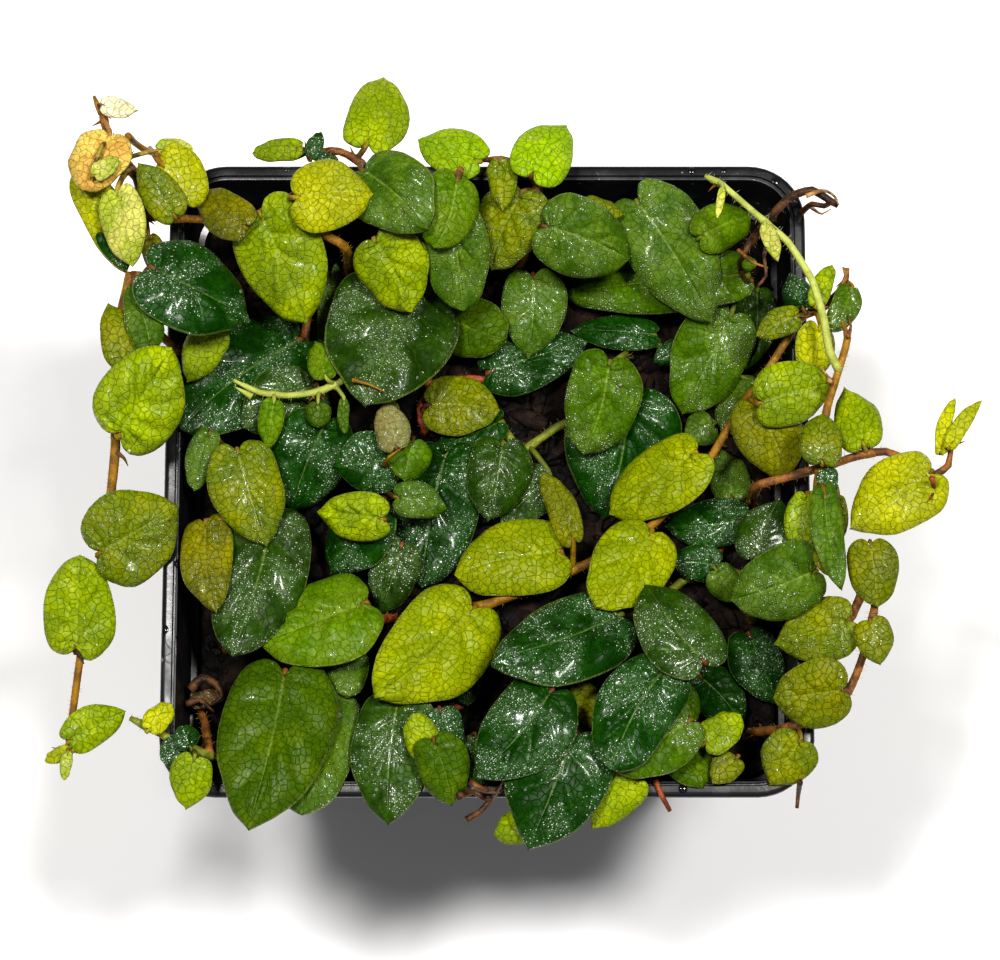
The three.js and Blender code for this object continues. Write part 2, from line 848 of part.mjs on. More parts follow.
/** A point of a leaf's blade, at a height over the blade's own slope. */
function onBlade(leaf, share, halfShare, lift) {
  const p = share * leaf.length;
  const q = halfShare * leaf.half;
  const [alongX, alongY] = leaf.along;
  return [
    leaf.base[0] + (p - lift * leaf.rise) * alongX - (q - lift * leaf.roll) * alongY,
    leaf.base[1] + (p - lift * leaf.rise) * alongY + (q - lift * leaf.roll) * alongX,
    leaf.height + p * leaf.rise + q * leaf.roll + lift,
  ];
}

/** A heart-shaped blade arched over its midrib, alike on both faces, with its stalk down to the stem. */
function makeLeaf(leaf, stalk, skew) {
  const side = leaf.length < SMALL_LEAF ? SMALL_BLADE_SIDE : BLADE_SIDE;
  const notch = STALK_HALF / leaf.half;
  const right = side.map(([s, t], i) => [s - (i ? 0 : skew), -t]);
  const left = side.map(([s, t], i) => [s + (i ? 0 : skew), t]).reverse();
  const outline = [[BLADE_NOTCH, -notch], ...right, BLADE_TIP, ...left, [BLADE_NOTCH, notch]];
  const plan = [...outline, ...BLADE_RIB];
  const edge = outline.length;
  const count = plan.length;
  const [nearRib, farRib] = [edge, edge + 1];
  const arch = CROWN * 2 * leaf.half;
  const liftOf = (i) => (i >= edge ? arch : i === 0 || i === edge - 1 ? NOTCH_CROWN * arch : 0);
  const points = [0, BLADE_THICKNESS].flatMap((thickness) =>
    plan.map(([s, t], i) => onBlade(leaf, s, t, liftOf(i) + thickness)),
  );
  const face = [];
  for (let i = 0; i < edge - 1; i++) {
    const nearTip = outline[i][0] > BLADE_TURN && outline[i + 1][0] > BLADE_TURN;
    face.push([i, i + 1, nearTip ? farRib : nearRib]);
  }
  face.push([edge - 1, 0, nearRib]);
  const turn = outline.findIndex((point) => point[0] > BLADE_TURN);
  face.push([turn, farRib, nearRib], [edge - 1 - turn, nearRib, farRib]);
  const triangles = [];
  for (const [a, b, c] of face) {
    triangles.push([a, c, b], [a + count, b + count, c + count]);
  }
  for (let i = 0; i < edge - 1; i++) {
    triangles.push([i, i + 1, i + 1 + count], [i, i + 1 + count, i + count]);
  }
  let ring = [edge - 1, 0, count, edge - 1 + count];
  for (const corners of stalkRings(leaf, stalk)) {
    const next = corners.map((_, k) => points.length + k);
    points.push(...corners);
    ring.forEach((corner, k) => {
      const other = (k + 1) % 4;
      triangles.push([corner, ring[other], next[other]], [corner, next[other], next[k]]);
    });
    ring = next;
  }
  triangles.push([ring[0], ring[1], ring[2]], [ring[0], ring[2], ring[3]]);
  return solidFrom(points, triangles);
}

/** Square sections of a leaf's stalk, turned along with its line, from behind the blade to the stem. */
function stalkRings(leaf, stalk) {
  const points = stalk.map((point) => new THREE.Vector3(...point));
  const left = new THREE.Vector3(-leaf.along[1], leaf.along[0], leaf.roll).normalize();
  return points.slice(1).map((point, i) => {
    const tangent = points[Math.min(i + 2, points.length - 1)].clone().sub(points[i]).normalize();
    left.addScaledVector(tangent, -left.dot(tangent)).normalize();
    const up = new THREE.Vector3().crossVectors(left, tangent);
    return [[1, -1], [-1, -1], [-1, 1], [1, 1]].map(([across, over]) => {
      const corner = point.clone().addScaledVector(left, across * STALK_HALF);
      return corner.addScaledVector(up, over * STALK_HALF).toArray();
    });
  });
}

/** The point of the stems' lines that lies nearest to a place, seen from above. */
function nearestOnStems(lines, place) {
  let best = null;
  for (const line of lines) {
    for (let i = 0; i < line.length - 1; i++) {
      for (let step = 0; step <= QUARTERS; step++) {
        const share = step / QUARTERS;
        const point = [0, 1, 2].map((axis) => line[i][axis] + share * (line[i + 1][axis] - line[i][axis]));
        const distance = Math.hypot(point[0] - place[0], point[1] - place[1]);
        if (!best || distance < best.distance - 1e-9) best = { distance, point };
      }
    }
  }
  return best.point;
}

/** The line of a leaf's stalk, from the blade's notch to the stem's middle, clear of what it passes. */
function stalkLine(leaf, from, below) {
  const lift = NOTCH_CROWN * CROWN * 2 * leaf.half + BLADE_THICKNESS / 2;
  const notch = onBlade(leaf, BLADE_NOTCH, 0, lift);
  const behind = [
    notch[0] - STALK_BACK * leaf.along[0],
    notch[1] - STALK_BACK * leaf.along[1],
    notch[2] - STALK_BACK * leaf.rise - STALK_DROP,
  ];
  const reach = Math.hypot(behind[0] - from[0], behind[1] - from[1]);
  if (reach < SHORT_STALK) return [notch, behind, from];
  const middle = [0, 1, 2].map((axis) => from[axis] + STALK_BEND * (behind[axis] - from[axis]));
  middle[2] = Math.max(middle[2], Math.min(below + STALK_HALF + 2 * CLEARANCE, behind[2]));
  return [notch, behind, middle, from];
}

/** One vine: its stems, stalks and leaves in one body, laid over what the field holds. */
function makeVine(field, vine) {
  const lines = [];
  let body = null;
  const join = (solid) => {
    body = body ? body.add(solid) : solid;
  };
  vine.stems.forEach((stem, index) => {
    const startPlace = fromSheet(stem[0][0], stem[0][1], stem[0][2] ?? vine.level);
    const start = index === 0 ? null : nearestOnStems(lines, startPlace);
    const line = drapeStem(field, vine, stem, start);
    lines.push(line);
    const [x, y] = line[0];
    const root = [[x, y, SOIL_LEVEL - ROOT_DEPTH], [x, y, SOIL_LEVEL + ROOT_COLLAR]];
    const rooted = index === 0 ? [...root, ...line] : line;
    const radius = index === 0 ? STEM_RADIUS : SIDE_STEM_SHARE * STEM_RADIUS;
    join(tube(rooted, radius, STEM_TIP_RADIUS, STEM_SIDES));
  });
  for (const line of lines) {
    for (let i = 0; i < line.length - 1; i++) field.layStem(line[i], line[i + 1], STEM_RADIUS);
  }
  vine.leaves.forEach((entry, index) => {
    const place = fromSheet(entry[0], entry[1], vine.level);
    const from = nearestOnStems(lines, place);
    const below = field.highest(from, place, STALK_HALF + SEAT_GAP);
    const leaf = settleLeaf(field, vine, entry, from[2]);
    const stalk = stalkLine(leaf, from, below);
    join(makeLeaf(leaf, stalk, index % 2 ? BLADE_SKEW : -BLADE_SKEW));
    for (let i = 1; i < stalk.length - 1; i++) field.layStem(stalk[i], stalk[i + 1], STALK_HALF);
  });
  return outerBody(body);
}

/** The largest closed surface of a solid: a hollow that joining has sealed is filled. */
function outerBody(solid) {
  return solid.decompose().reduce((a, b) => (b.volume() > a.volume() ? b : a));
}

/** A named mesh with its own material. */
function meshOf(name, solid, color, roughness) {
  const data = solid.getMesh();
  const positions = new Float32Array(data.numVert * 3);
  for (let i = 0; i < data.numVert; i++) {
    positions.set(data.vertProperties.subarray(i * data.numProp, i * data.numProp + 3), i * 3);
  }
  const geometry = new THREE.BufferGeometry();
  geometry.setAttribute("position", new THREE.BufferAttribute(positions, 3));
  geometry.setIndex(new THREE.BufferAttribute(new Uint32Array(data.triVerts), 1));
  geometry.computeVertexNormals();
  const mesh = new THREE.Mesh(geometry, new THREE.MeshStandardMaterial({ color, roughness, metalness: 0 }));
  mesh.name = name;
  return mesh;
}

const plant = new THREE.Group();
plant.name = "potted_creeping_fig";
const field = new HeightField(FIELD_REACH);
const roots = VINES.map(({ stems, level }) => fromSheet(stems[0][0][0], stems[0][0][1], level));
plant.add(meshOf("pot", makePot(), POT_COLOR, POT_ROUGHNESS));
plant.add(meshOf("soil", makeSoil(roots), SOIL_COLOR, SOIL_ROUGHNESS));
for (const vine of VINES) {
  plant.add(meshOf(vine.name, makeVine(field, vine), vine.color, LEAF_ROUGHNESS));
}

export default plant;
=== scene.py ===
"""The looks of a potted creeping fig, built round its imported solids.

The plan of the vines, and the rule by which they are laid down, are those of the part's own solids, so each
stem and leaf here lies where its solid lies. The plan and the rule work in millimetres, and a finished mesh
is in metres.
"""

import logging
import math
from dataclasses import dataclass, field
from enum import Enum
from typing import Optional, Sequence

import bmesh
import bpy
import numpy as np
from mathutils import Matrix, Vector


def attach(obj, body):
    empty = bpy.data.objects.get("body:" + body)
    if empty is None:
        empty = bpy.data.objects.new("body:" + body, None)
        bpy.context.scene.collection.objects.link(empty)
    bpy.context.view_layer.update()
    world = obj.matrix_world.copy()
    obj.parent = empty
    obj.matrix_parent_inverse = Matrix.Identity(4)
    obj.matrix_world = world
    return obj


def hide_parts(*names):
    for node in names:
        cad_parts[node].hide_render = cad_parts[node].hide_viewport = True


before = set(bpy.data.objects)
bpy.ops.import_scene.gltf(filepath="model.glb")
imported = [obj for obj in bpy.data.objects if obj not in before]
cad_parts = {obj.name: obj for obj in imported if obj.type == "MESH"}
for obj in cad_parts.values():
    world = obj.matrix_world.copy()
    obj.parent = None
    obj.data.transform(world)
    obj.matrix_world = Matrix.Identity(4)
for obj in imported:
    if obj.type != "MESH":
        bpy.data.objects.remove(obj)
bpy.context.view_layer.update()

Socket = bpy.types.NodeSocket
LOG = logging.getLogger("potted_creeping_fig")
MM = 0.001

# The pot and its soil
POT_WIDTH = 90.0
POT_HEIGHT = 80.0
BASE_WIDTH = 65.0
RIM_CORNER = 8.0
BASE_CORNER = 6.0
COLLAR_HEIGHT = 13.4
COLLAR_OVERHANG = 3.1
LIP_WIDTH = 2.1
WALL = 1.2
FLOOR_THICKNESS = 2.2
DRAIN_RADIUS = 3.0
DRAIN_OFFSET = 21.5
SOIL_LEVEL = 68.0
SOIL_RELIEF = 0.7
INNER_DRAFT = 0.9
SEAT_GAP = 0.3

# The rule by which the vines lie
ROOT_DEPTH = 8.0
STEM_RADIUS = 0.85
STEM_TIP_RADIUS = 0.55
STEM_STEP = 8.5
STEM_MARGIN = 0.5
DRAPE_PASSES = 12
LAID_MARGIN = 0.7
LAID_GAP = 0.15
STALK_HALF = 0.36
SHORT_STALK = 4.5
STALK_BACK = 0.8
STALK_DROP = 0.45
STALK_BEND = 0.3
BLADE_THICKNESS = 0.65
BLADE_TOP = 1.15
BLADE_NOTCH = 0.03
BLADE_TAIL = 0.07
CROWN = 0.07
NOTCH_CROWN = 0.6
CLEARANCE = 0.35
BLADE_MARGIN = 0.6
LEAF_RISE = 1.1
SLOPES_ALONG = (-0.36, -0.24, -0.12, 0.0, 0.12, 0.24, 0.36)
SLOPES_ACROSS = (-0.3, -0.15, 0.0, 0.15, 0.3)
SLOPE_COST = 1.5
USUAL_RISE = -0.06
WEIGHT_POINT = 0.45
FIELD_REACH = 80
QUARTERS = 4
TINY = 1e-9
BLADE_SIDE = ((-0.07, 0.45), (0.1, 0.92), (0.42, 0.97), (0.78, 0.5), (1.0, 0.0))


def linear(code: str) -> tuple[float, float, float]:
    """A colour that is written as six hexadecimal digits, as linear light.

    Args:
        code: The digits, as on a paint chart for screens.

    Returns:
        Red, green and blue from 0 to 1.
    """
    parts = (int(code[i : i + 2], 16) / 255 for i in (0, 2, 4))
    return tuple(v / 12.92 if v <= 0.04045 else ((v + 0.055) / 1.055) ** 2.4 for v in parts)


@dataclass(frozen=True)
class LeafColour:
    """How one age of leaf is coloured.

    face is the blade, patch its cloudy second colour, and net is the colour of its fine veins. wet says how
    thickly small drops lie on it, and dull how rough its skin is.
    """

    face: str
    patch: str
    net: str
    wet: float
    dull: float


class LeafTone(Enum):
    """The ages and states of leaf on the plant."""

    DEEP = LeafColour("1b3503", "294606", "45560e", 0.80, 0.40)
    DARK = LeafColour("0b3100", "123b00", "1e4800", 0.75, 0.38)
    MID = LeafColour("395601", "496701", "607402", 0.65, 0.42)
    GREEN = LeafColour("3c5600", "4b6200", "334900", 0.06, 0.40)
    FRESH = LeafColour("466600", "547100", "6d7c00", 0.16, 0.40)
    LIME = LeafColour("758800", "899800", "5c6e00", 0.20, 0.42)
    BRIGHT = LeafColour("788500", "868e00", "637100", 0.10, 0.40)
    YELLOW = LeafColour("6d7000", "787800", "535700", 0.20, 0.42)
    SUN = LeafColour("949800", "a1a20d", "7a8107", 0.20, 0.42)
    LEMON = LeafColour("7f9c00", "90a814", "688400", 0.20, 0.40)
    MOSS = LeafColour("626f01", "777c01", "4b5a00", 0.38, 0.45)
    OLIVE = LeafColour("636c00", "717400", "4b5200", 0.26, 0.45)
    GOLD = LeafColour("5e5e00", "716e00", "474800", 0.30, 0.45)
    AMBER = LeafColour("bc9648", "ccb45c", "9c7830", 0.08, 0.45)
    PALE = LeafColour("96a132", "b4b15a", "7d8729", 0.20, 0.50)
    CREAM = LeafColour("d4cdaf", "c4be96", "adab7d", 0.10, 0.50)
    GREY = LeafColour("355208", "4a6310", "5e7419", 0.45, 0.46)
    TAUPE = LeafColour("645e34", "756d40", "8b8851", 0.40, 0.50)
    DEAD = LeafColour("482e15", "2d1a0c", "674722", 0.30, 0.60)


class Bark(Enum):
    """The ages of stem: the colour of its skin and of its darker streaks."""

    GOLDEN = ("946c14", "6c4c10")
    BROWN = ("8c5c28", "52341a")
    RED = ("a0522c", "5c2c18")
    OLIVE = ("7c8424", "565a1c")
    PALE = ("acb45c", "949c44")
    DRY = ("5c3c20", "2c1a0e")
    STRAW = ("b89060", "7c5a34")

    @property
    def paint(self) -> tuple:
        """The stem's colours as the three painted layers."""
        skin, streak = map(rgba, self.value)
        return skin, streak, streak


T = LeafTone


@dataclass(frozen=True)
class Sheet:
    """The plan sheet, which is seen from 12 degrees off the vertical, as the camera sees the plant."""

    centre: tuple[float, float] = (500.0, 480.0)
    aim: tuple[float, float, float] = (1.8, -0.7, 80.0)
    elevation: float = math.radians(78)
    distance: float = 490.0
    units_per_mm: float = 7.18

    def place(self, x: float, y: float, z: float) -> np.ndarray:
        """Turns a point of the sheet into x and y at a height, along the line of sight.

        Args:
            x: The sheet's units to the right.
            y: The sheet's units down.
            z: The height in mm.

        Returns:
            x and y in mm.
        """
        sin, cos = math.sin(self.elevation), math.cos(self.elevation)
        right = (x - self.centre[0]) / self.units_per_mm
        up = (self.centre[1] - y) / self.units_per_mm
        eye_y = self.aim[1] - cos * self.distance
        eye_z = self.aim[2] + sin * self.distance
        share = (z - eye_z) / (cos * up - sin * self.distance)
        return np.array([self.aim[0] + share * right, eye_y + share * (cos * self.distance + sin * up)])


SHEET = Sheet()


@dataclass(frozen=True)
class VinePlan:
    """One vine on the sheet: its usual height, its stems with the root first, and its leaves.

    A stem's point is (x, y) or (x, y, height). A leaf is (base x, base y, tip x, tip y, width, tone).
    """

    name: str
    level: float
    stems: list
    leaves: list


# The vines, in the order in which they lie over each other
VINES = [
    VinePlan("old_vine_right", 72, stems=[
        (Bark.OLIVE, [(700, 412), (705, 385), (722, 345), (748, 312), (768, 290)]),
        (Bark.OLIVE, [(705, 385), (685, 358), (655, 340)]),
    ], leaves=[
        (757, 292, 746, 370, 44, T.DEEP), (652, 336, 570, 330, 38, T.DARK),
        (678, 346, 653, 362, 22, T.DARK), (756, 388, 722, 430, 46, T.MID),
        (712, 426, 684, 438, 36, T.GREY),
    ]),
    VinePlan("old_vine_centre", 72, stems=[
        (Bark.OLIVE, [(634, 374), (600, 405), (557, 424), (520, 450), (480, 468), (445, 480)]),
        (Bark.OLIVE, [(520, 450), (503, 424)]),
    ], leaves=[
        (628, 398, 604, 516, 120, T.DARK), (500, 424, 436, 446, 42, T.DARK),
        (446, 456, 422, 585, 96, T.DARK), (548, 478, 500, 524, 50, T.DEEP),
        (502, 446, 488, 520, 66, T.DEEP),
    ]),
    VinePlan("old_vine_left", 73, stems=[
        (Bark.BROWN, [(307, 306), (303, 345), (314, 385), (326, 418)]),
        (Bark.BROWN, [(307, 306), (322, 284)]),
    ], leaves=[
        (330, 276, 322, 384, 28, T.MID), (296, 336, 184, 434, 100, T.DARK),
        (312, 384, 245, 430, 70, T.DEEP), (325, 424, 289, 506, 80, T.DARK),
    ]),
    VinePlan("old_vine_middle", 73, stems=[
        (Bark.BROWN, [(380, 505), (392, 478), (398, 452)]),
        (Bark.RED, [(380, 505), (382, 530), (396, 550)]),
    ], leaves=[
        (402, 548, 380, 612, 50, T.DEEP), (374, 514, 330, 572, 66, T.DARK),
        (392, 456, 335, 466, 62, T.DARK), (412, 442, 404, 480, 44, T.MID),
        (398, 500, 446, 508, 38, T.GREY), (396, 448, 384, 404, 36, T.TAUPE),
        (383, 520, 316, 508, 49, T.LIME),
    ]),
    VinePlan("front_left_vine", 75, stems=[
        (Bark.RED, [(354, 726), (364, 708), (400, 702), (436, 706), (462, 700), (470, 680)]),
        (Bark.BROWN, [(364, 708), (345, 695), (325, 688)]),
        (Bark.BROWN, [(436, 706), (446, 728), (456, 742)]),
    ], leaves=[
        (322, 692, 303, 815, 88, T.GREY), (346, 652, 350, 698, 44, T.GREY),
        (463, 660, 468, 706, 38, T.DARK), (398, 702, 388, 824, 82, T.DEEP),
        (476, 738, 482, 786, 40, T.DEEP), (440, 712, 458, 750, 38, T.DARK),
        (433, 754, 413, 714, 36, T.LIME), (434, 742, 451, 803, 52, T.GREEN),
    ]),
    VinePlan("front_middle_vine", 76, stems=[
        (Bark.BROWN, [(588, 694), (568, 704), (554, 695)]),
        (Bark.BROWN, [(568, 704), (575, 725), (584, 750), (604, 776)]),
    ], leaves=[
        (636, 782, 592, 826, 40, T.LIME), (530, 826, 495, 834, 34, T.LIME),
        (580, 690, 604, 732, 36, T.OLIVE), (574, 737, 528, 850, 100, T.DARK),
        (551, 693, 476, 778, 86, T.DARK),
    ]),
    VinePlan("centre_right_vine", 75, stems=[
        (Bark.OLIVE, [(752, 572), (716, 561), (688, 572), (655, 598), (624, 614)]),
        (Bark.BROWN, [(716, 561), (726, 530), (740, 505)]),
    ], leaves=[
        (731, 498, 722, 448, 42, T.GREY), (740, 522, 664, 524, 50, T.DARK),
        (717, 566, 674, 560, 38, T.DARK), (716, 572, 738, 602, 34, T.GREY),
        (619, 615, 493, 666, 90, T.DARK), (758, 556, 780, 500, 58, T.DEEP),
    ]),
    VinePlan("centre_shoot", 75, stems=[
        (Bark.RED, [(424, 420), (420, 402), (430, 380), (462, 370), (490, 372)]),
        (Bark.RED, [(430, 380), (424, 366)]),
    ], leaves=[
        (490, 374, 587, 344, 64, T.DARK), (430, 404, 500, 411, 63, T.OLIVE),
    ]),
    VinePlan("right_centre_vine", 76, stems=[
        (Bark.OLIVE, [(626, 350), (614, 364), (603, 378)]),
    ], leaves=[
        (609, 366, 584, 450, 77, T.MID),
    ]),
    VinePlan("back_right_vine", 78, stems=[
        (Bark.OLIVE, [(748, 266), (732, 262), (704, 246), (668, 218), (640, 204)]),
        (Bark.DRY, [(732, 262, 80), (768, 220, 83), (790, 197, 85), (812, 190, 86), (838, 206, 86)]),
    ], leaves=[
        (730, 316, 684, 408, 78, T.MID), (736, 284, 563, 286, 66, T.MID),
        (676, 212, 702, 216, 20, T.DARK), (637, 204, 712, 320, 88, T.GREY),
        (700, 240, 751, 213, 48, T.FRESH),
    ]),
    VinePlan("back_middle_vine", 79, stems=[
        (Bark.BROWN, [(512, 272), (526, 244), (540, 208), (533, 182), (508, 166), (480, 164)]),
        (Bark.BROWN, [(512, 272), (534, 277)]),
        (Bark.OLIVE, [(526, 244), (500, 236), (482, 230)]),
    ], leaves=[
        (533, 280, 528, 359, 68, T.GREY), (480, 236, 480, 290, 20, T.LIME),
        (522, 198, 492, 266, 72, T.MOSS), (584, 206, 623, 214, 26, T.OLIVE),
        (546, 228, 629, 255, 78, T.GREY), (500, 163, 503, 210, 29, T.MOSS),
        (478, 165, 419, 138, 52, T.LEMON), (532, 182, 566, 125, 62, T.LEMON),
    ]),
    VinePlan("light_green_shoot", 77, stems=[
        (Bark.PALE, [
            (393, 394), (372, 386), (351, 380), (320, 397), (290, 403), (262, 400), (236, 388),
        ]),
    ], leaves=[
        (344, 402, 345, 434, 12, T.GREEN), (318, 404, 318, 427, 26, T.GREEN),
        (274, 404, 268, 447, 26, T.FRESH), (326, 378, 315, 340, 30, T.FRESH),
    ]),
    VinePlan("back_vine", 79, stems=[
        (Bark.BROWN, [
            (438, 262), (412, 272), (396, 262), (384, 230), (372, 198), (362, 168), (340, 156),
            (308, 158),
        ]),
        (Bark.BROWN, [(384, 230), (420, 222), (452, 200), (462, 180)]),
    ], leaves=[
        (452, 318, 506, 344, 62, T.GREEN), (400, 282, 367, 411, 132, T.DEEP),
        (450, 212, 463, 304, 70, T.GREY), (376, 242, 412, 308, 72, T.LIME),
        (420, 206, 396, 174, 34, T.LIME), (456, 181, 434, 246, 56, T.FRESH),
        (365, 168, 427, 234, 80, T.GREY), (300, 151, 252, 151, 24, T.LIME),
        (312, 158, 321, 132, 18, T.DARK), (330, 156, 322, 177, 24, T.DARK),
        (368, 148, 383, 72, 64, T.LIME),
    ]),
    VinePlan("back_left_vine", 82, stems=[
        (Bark.GOLDEN, [(345, 252), (315, 236), (284, 206), (250, 226), (178, 221, 83), (146, 218, 84)]),
        (Bark.BROWN, [(146, 218, 84), (137, 178, 86), (111, 145, 88), (102, 112, 90)]),
    ], leaves=[
        (262, 218, 305, 316, 85, T.LIME), (298, 199, 373, 192, 74, T.SUN),
        (246, 230, 200, 190, 45, T.GOLD), (160, 152, 192, 148, 24, T.PALE),
        (184, 203, 172, 143, 54, T.SUN), (174, 214, 138, 163, 40, T.MOSS),
        (146, 228, 158, 270, 24, T.GOLD), (88, 186, 124, 268, 44, T.SUN),
        (104, 234, 126, 268, 26, T.DARK), (119, 196, 131, 262, 46, T.PALE),
        (111, 140, 84, 192, 60, T.AMBER), (96, 176, 119, 160, 20, T.PALE),
        (104, 108, 138, 112, 22, T.CREAM),
    ]),
    VinePlan("left_trailing_vine", 81, stems=[
        (Bark.BROWN, [(222, 292), (190, 298), (160, 296), (136, 286, 83)]),
        (Bark.BROWN, [(136, 286), (156, 338), (180, 354)]),
        (Bark.GOLDEN, [
            (136, 286, 83), (124, 340, 83), (119, 400, 82), (119, 455, 80), (111, 520, 79),
            (103, 575, 77), (84, 650, 75), (74, 712, 74), (67, 752, 73),
        ]),
    ], leaves=[
        (216, 332, 187, 379, 42, T.LIME), (125, 362, 108, 303, 40, T.OLIVE),
        (150, 344, 128, 286, 36, T.GREY), (152, 273, 249, 315, 95, T.DARK),
        (117, 427, 172, 350, 84, T.LIME), (99, 552, 178, 505, 90, T.MOSS),
        (75, 647, 81, 558, 72, T.LIME), (72, 742, 126, 712, 40, T.LIME),
        (70, 752, 45, 760, 16, T.SUN), (68, 754, 64, 780, 12, T.PALE),
    ]),
    VinePlan("bottom_left_shoot", 79, stems=[
        (Bark.OLIVE, [(236, 752), (210, 757), (182, 747), (152, 729, 82), (130, 718, 82)]),
        (Bark.BROWN, [(210, 757), (204, 724), (196, 702)]),
    ], leaves=[
        (192, 700, 226, 692, 18, T.DEAD), (186, 746, 161, 760, 34, T.DARK),
        (190, 746, 180, 726, 26, T.DARK), (150, 729, 171, 704, 26, T.SUN),
        (195, 760, 185, 808, 42, T.LIME),
    ]),
    VinePlan("bright_runner", 81, stems=[
        (Bark.GOLDEN, [
            (377, 660), (382, 630), (400, 607), (440, 600), (490, 592), (540, 573), (585, 555),
            (625, 536), (658, 514), (690, 480), (714, 450), (735, 415), (760, 382), (785, 344),
            (802, 319), (820, 310, 84), (845, 285, 85), (847, 268, 86),
        ]),
        (Bark.RED, [(400, 607), (372, 617), (335, 643), (300, 666), (284, 672)]),
    ], leaves=[
        (284, 671, 250, 830, 113, T.GREEN), (365, 605, 261, 645, 93, T.FRESH),
        (472, 605, 378, 700, 100, T.BRIGHT), (560, 548, 455, 569, 80, T.BRIGHT),
        (572, 540, 543, 472, 32, T.YELLOW), (695, 456, 611, 509, 75, T.BRIGHT),
        (650, 532, 595, 612, 80, T.BRIGHT), (803, 308, 792, 272, 30, T.DARK),
        (796, 318, 757, 334, 30, T.MOSS), (818, 330, 806, 378, 40, T.SUN),
        (816, 305, 832, 266, 22, T.LIME), (850, 290, 831, 332, 30, T.MID),
        (755, 405, 788, 477, 68, T.YELLOW), (762, 400, 836, 382, 62, T.LIME),
    ]),
    VinePlan("left_inner_vine", 78, stems=[
        (Bark.BROWN, [(222, 636), (230, 592), (240, 545), (250, 500), (243, 460)]),
    ], leaves=[
        (216, 452, 200, 503, 30, T.GREY), (272, 512, 235, 657, 98, T.DEEP),
        (204, 520, 216, 612, 54, T.GOLD), (238, 452, 266, 545, 74, T.MOSS),
    ]),
    VinePlan("front_right_vine", 79, stems=[
        (Bark.RED, [(754, 630), (724, 645), (692, 658), (663, 666)]),
        (Bark.BROWN, [(663, 666), (672, 700), (696, 728), (718, 756)]),
    ], leaves=[
        (700, 678, 745, 728, 52, T.DARK), (748, 637, 776, 702, 58, T.DARK),
        (682, 738, 702, 788, 50, T.GREEN), (684, 690, 694, 722, 24, T.MID),
        (735, 760, 712, 784, 30, T.OLIVE), (706, 744, 741, 716, 38, T.LIME),
        (688, 722, 615, 772, 64, T.MID), (663, 670, 610, 771, 80, T.DARK),
        (702, 665, 646, 582, 75, T.DEEP),
    ]),
    VinePlan("right_lower_vine", 82, stems=[
        (Bark.BROWN, [
            (756, 722), (785, 728), (830, 712), (851, 686), (863, 655, 84), (874, 608, 85),
            (869, 560, 87),
        ]),
        (Bark.BROWN, [(870, 575, 86), (859, 600, 85), (848, 624, 84)]),
    ], leaves=[
        (799, 742, 771, 784, 55, T.MOSS), (848, 622, 776, 642, 64, T.MOSS),
        (843, 690, 774, 697, 66, T.OLIVE), (870, 623, 880, 665, 38, T.OLIVE),
        (870, 545, 878, 606, 51, T.OLIVE),
    ]),
    VinePlan("right_long_vine", 83, stems=[
        (Bark.BROWN, [
            (757, 486), (790, 477), (828, 467), (860, 457, 83), (885, 453, 84), (910, 462, 85),
            (934, 476, 85), (948, 466, 86), (951, 446, 87),
        ]),
    ], leaves=[
        (838, 500, 842, 540, 16, T.OLIVE), (862, 446, 845, 386, 48, T.LIME),
        (930, 474, 851, 527, 75, T.SUN), (940, 452, 955, 398, 15, T.SUN),
        (950, 446, 982, 400, 17, T.SUN),
    ]),
    VinePlan("right_hanging_vine", 85, stems=[
        (Bark.GOLDEN, [
            (760, 600), (790, 588), (812, 564), (813, 535), (817, 487, 84), (819, 450, 85),
            (826, 410, 86), (838, 372, 88), (847, 340, 89), (842, 324, 89),
        ]),
        (Bark.PALE, [
            (838, 372, 88), (829, 352, 90), (824, 320, 92), (812, 280, 93), (788, 242, 93),
            (765, 222, 93), (722, 186, 92), (705, 176, 92),
        ]),
    ], leaves=[
        (806, 497, 800, 556, 34, T.LIME), (814, 573, 732, 597, 70, T.GREY),
        (818, 552, 830, 576, 18, T.YELLOW), (826, 470, 832, 494, 22, T.DARK),
        (822, 462, 822, 415, 42, T.MOSS), (824, 492, 841, 591, 33, T.GREY),
        (766, 228, 778, 262, 17, T.PALE), (722, 190, 717, 218, 8, T.PALE),
    ]),
]


